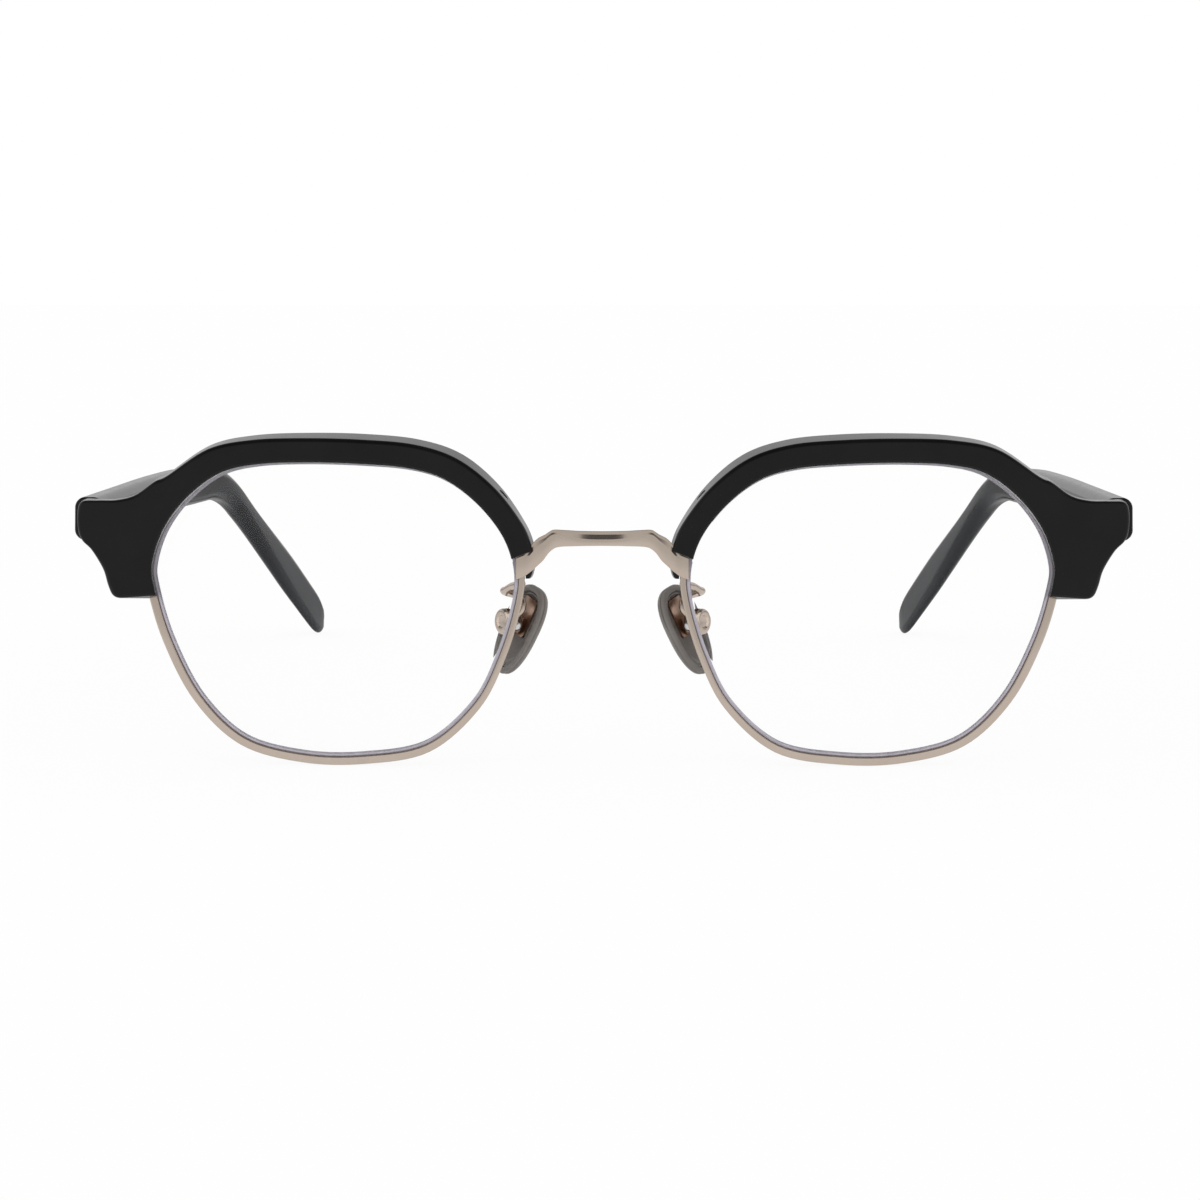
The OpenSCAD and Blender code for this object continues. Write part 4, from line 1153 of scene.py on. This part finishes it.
def finish_cad_nodes():
    """Every CAD node gets its finish, and a small edge break where it stays in view."""
    slots = {s["node"]: s["material_slot"] for s in frame["record"]["subparts"]}
    for name, obj in frame["nodes"].items():
        if not obj.material_slots:
            obj.data.materials.append(None)
        for slot in obj.material_slots:
            slot.material = CAD_FINISH[slots[name]]
        if name.rsplit("_", 1)[0] in REMADE or name == "bridge":
            continue
        weld = obj.modifiers.new("weld", "WELD")
        weld.merge_threshold = WELD_DISTANCE
        edge = obj.modifiers.new("edge", "BEVEL")
        edge.width = EDGE_BREAK * MM
        edge.segments = 2
        edge.limit_method = "ANGLE"
        edge.angle_limit = EDGE_ANGLE
        edge.harden_normals = True


# ---------------------------------------------------------------- stage, light and camera
FLOOR_HALF = 1.6  # metres
FLOOR_GREY = 0.9
FLOOR_OWN = 0.92  # share of the floor's white that doesn't depend on the light
# What polished surfaces mirror is dimmer than the white that the camera sees. Each pair
# is a place and the level there: on the floor twice the metres back, in the room 0 in
# front to 1 behind, and 0 at the horizon to 1 overhead.
FLOOR_SCALE = 2
FLOOR_LEVELS = [(0, 0.76), (0.1, 0.6), (0.3, 0.4)]
ROOM_LEVELS = [(0, 0.58), (0.12, 0.6), (0.35, 0.66), (0.6, 0.7), (1, 0.66)]
HEIGHT_LEVELS = [
    (0, 1), (0.12, 1), (0.38, 0.95), (0.56, 0.75), (0.72, 0.3), (0.86, 0.13), (1, 0.12),
]
VIEW_DISTANCE = 516.0
VIEW_RISE = math.radians(6.1)
VIEW_TURN = math.radians(-0.6)
VIEW_AIM = (-0.3, 0, 1.21)  # from the front's middle
FOCUS_PX = 4097.0  # focal length in the photograph's pixels
IMAGE_PX = 1200
SENSOR = 36


def math_node(tree, operation, *values):
    """A calculation on numbers and other nodes' outputs."""
    n = tree.nodes.new("ShaderNodeMath")
    n.operation = operation
    for i, value in enumerate(values):
        if isinstance(value, (int, float)):
            n.inputs[i].default_value = value
        else:
            tree.links.new(value, n.inputs[i])
    return n.outputs[0]


def mirrored_only(tree, path):
    """1 for a ray that a surface mirrors, 0 for the camera's or one from inside the lens."""
    rest = math_node(tree, "SUBTRACT", path.outputs["Is Glossy Ray"], path.outputs["Is Camera Ray"])
    only = math_node(tree, "SUBTRACT", rest, path.outputs["Is Transmission Ray"])
    only.node.use_clamp = True
    return only


def dimmed(tree, path, level):
    """1 for every ray but a mirrored one, which gets the level."""
    less = math_node(tree, "SUBTRACT", 1, level)
    dim = math_node(tree, "MULTIPLY", mirrored_only(tree, path), less)
    return math_node(tree, "SUBTRACT", 1, dim)


def axes_of(tree, coords):
    """The X, Y and Z of a kind of texture coordinates."""
    axes = tree.nodes.new("ShaderNodeSeparateXYZ")
    where = tree.nodes.new("ShaderNodeTexCoord")
    tree.links.new(where.outputs[coords], axes.inputs["Vector"])
    return axes.outputs


def make_floor():
    """A pale floor that shows white to the camera, and still takes the object's shadow."""
    mesh = bpy.data.meshes.new("floor")
    s = FLOOR_HALF
    mesh.from_pydata([(-s, -s, 0), (s, -s, 0), (s, s, 0), (-s, s, 0)], [], [(0, 1, 2, 3)])
    m = bpy.data.materials.new("pale_floor")
    m.use_nodes = True
    tree = m.node_tree
    tree.nodes.clear()
    out = tree.nodes.new("ShaderNodeOutputMaterial")
    shade = tree.nodes.new("ShaderNodeBsdfDiffuse")
    shade.inputs["Color"].default_value = (FLOOR_GREY, FLOOR_GREY, FLOOR_GREY, 1)
    glow = tree.nodes.new("ShaderNodeEmission")
    path = tree.nodes.new("ShaderNodeLightPath")
    back = math_node(tree, "MULTIPLY", axes_of(tree, "Object")["Y"], FLOOR_SCALE)
    tree.links.new(dimmed(tree, path, greys(tree, back, FLOOR_LEVELS)), glow.inputs["Strength"])
    seen = math_node(tree, "MAXIMUM", path.outputs["Is Camera Ray"], path.outputs["Is Glossy Ray"])
    seen = math_node(tree, "MAXIMUM", seen, path.outputs["Is Transmission Ray"])
    mix = tree.nodes.new("ShaderNodeMixShader")
    tree.links.new(math_node(tree, "MULTIPLY", seen, FLOOR_OWN), mix.inputs["Fac"])
    tree.links.new(shade.outputs["BSDF"], mix.inputs[1])
    tree.links.new(glow.outputs["Emission"], mix.inputs[2])
    tree.links.new(mix.outputs["Shader"], out.inputs["Surface"])
    mesh.materials.append(m)
    floor = link("floor", mesh)


def make_world():
    """White all round. In reflections it is a studio: paler low down, dim overhead."""
    world = bpy.data.worlds.new("studio")
    bpy.context.scene.world = world
    world.use_nodes = True
    tree = world.node_tree
    tree.nodes.clear()
    out = tree.nodes.new("ShaderNodeOutputWorld")
    axes = axes_of(tree, "Generated")
    room = greys(tree, math_node(tree, "MULTIPLY_ADD", axes["Y"], 0.5, 0.5), ROOM_LEVELS)
    studio = math_node(tree, "MULTIPLY", room, greys(tree, axes["Z"], HEIGHT_LEVELS))
    path = tree.nodes.new("ShaderNodeLightPath")
    lit = tree.nodes.new("ShaderNodeBackground")
    lit.inputs["Color"].default_value = (1, 1, 1, 1)
    tree.links.new(dimmed(tree, path, studio), lit.inputs["Strength"])
    tree.links.new(lit.outputs["Background"], out.inputs["Surface"])


def make_camera():
    """The camera at the photograph's viewing angle."""
    camera = bpy.data.cameras.new("camera")
    camera.sensor_width = SENSOR
    camera.lens = SENSOR * FOCUS_PX / IMAGE_PX
    obj = link("camera", camera)
    look = np.array([
        math.sin(VIEW_TURN) * math.cos(VIEW_RISE),
        math.cos(VIEW_TURN) * math.cos(VIEW_RISE),
        -math.sin(VIEW_RISE),
    ])
    aim = FRONT + VIEW_AIM
    obj.location = Vector((aim - VIEW_DISTANCE * look) * MM)
    obj.rotation_euler = Vector(look).to_track_quat("-Z", "Y").to_euler()
    bpy.context.scene.camera = obj


# ---------------------------------------------------------------- make everything
make_lens()
make_rim()
make_brow()
make_temple()
make_temple_core()
make_bridge()
make_nose_pad()
make_pad_core()
make_pad_screw()
make_pad_arm()
finish_cad_nodes()
make_floor()
make_world()
make_camera()
bpy.context.scene.view_settings.view_transform = "Standard"
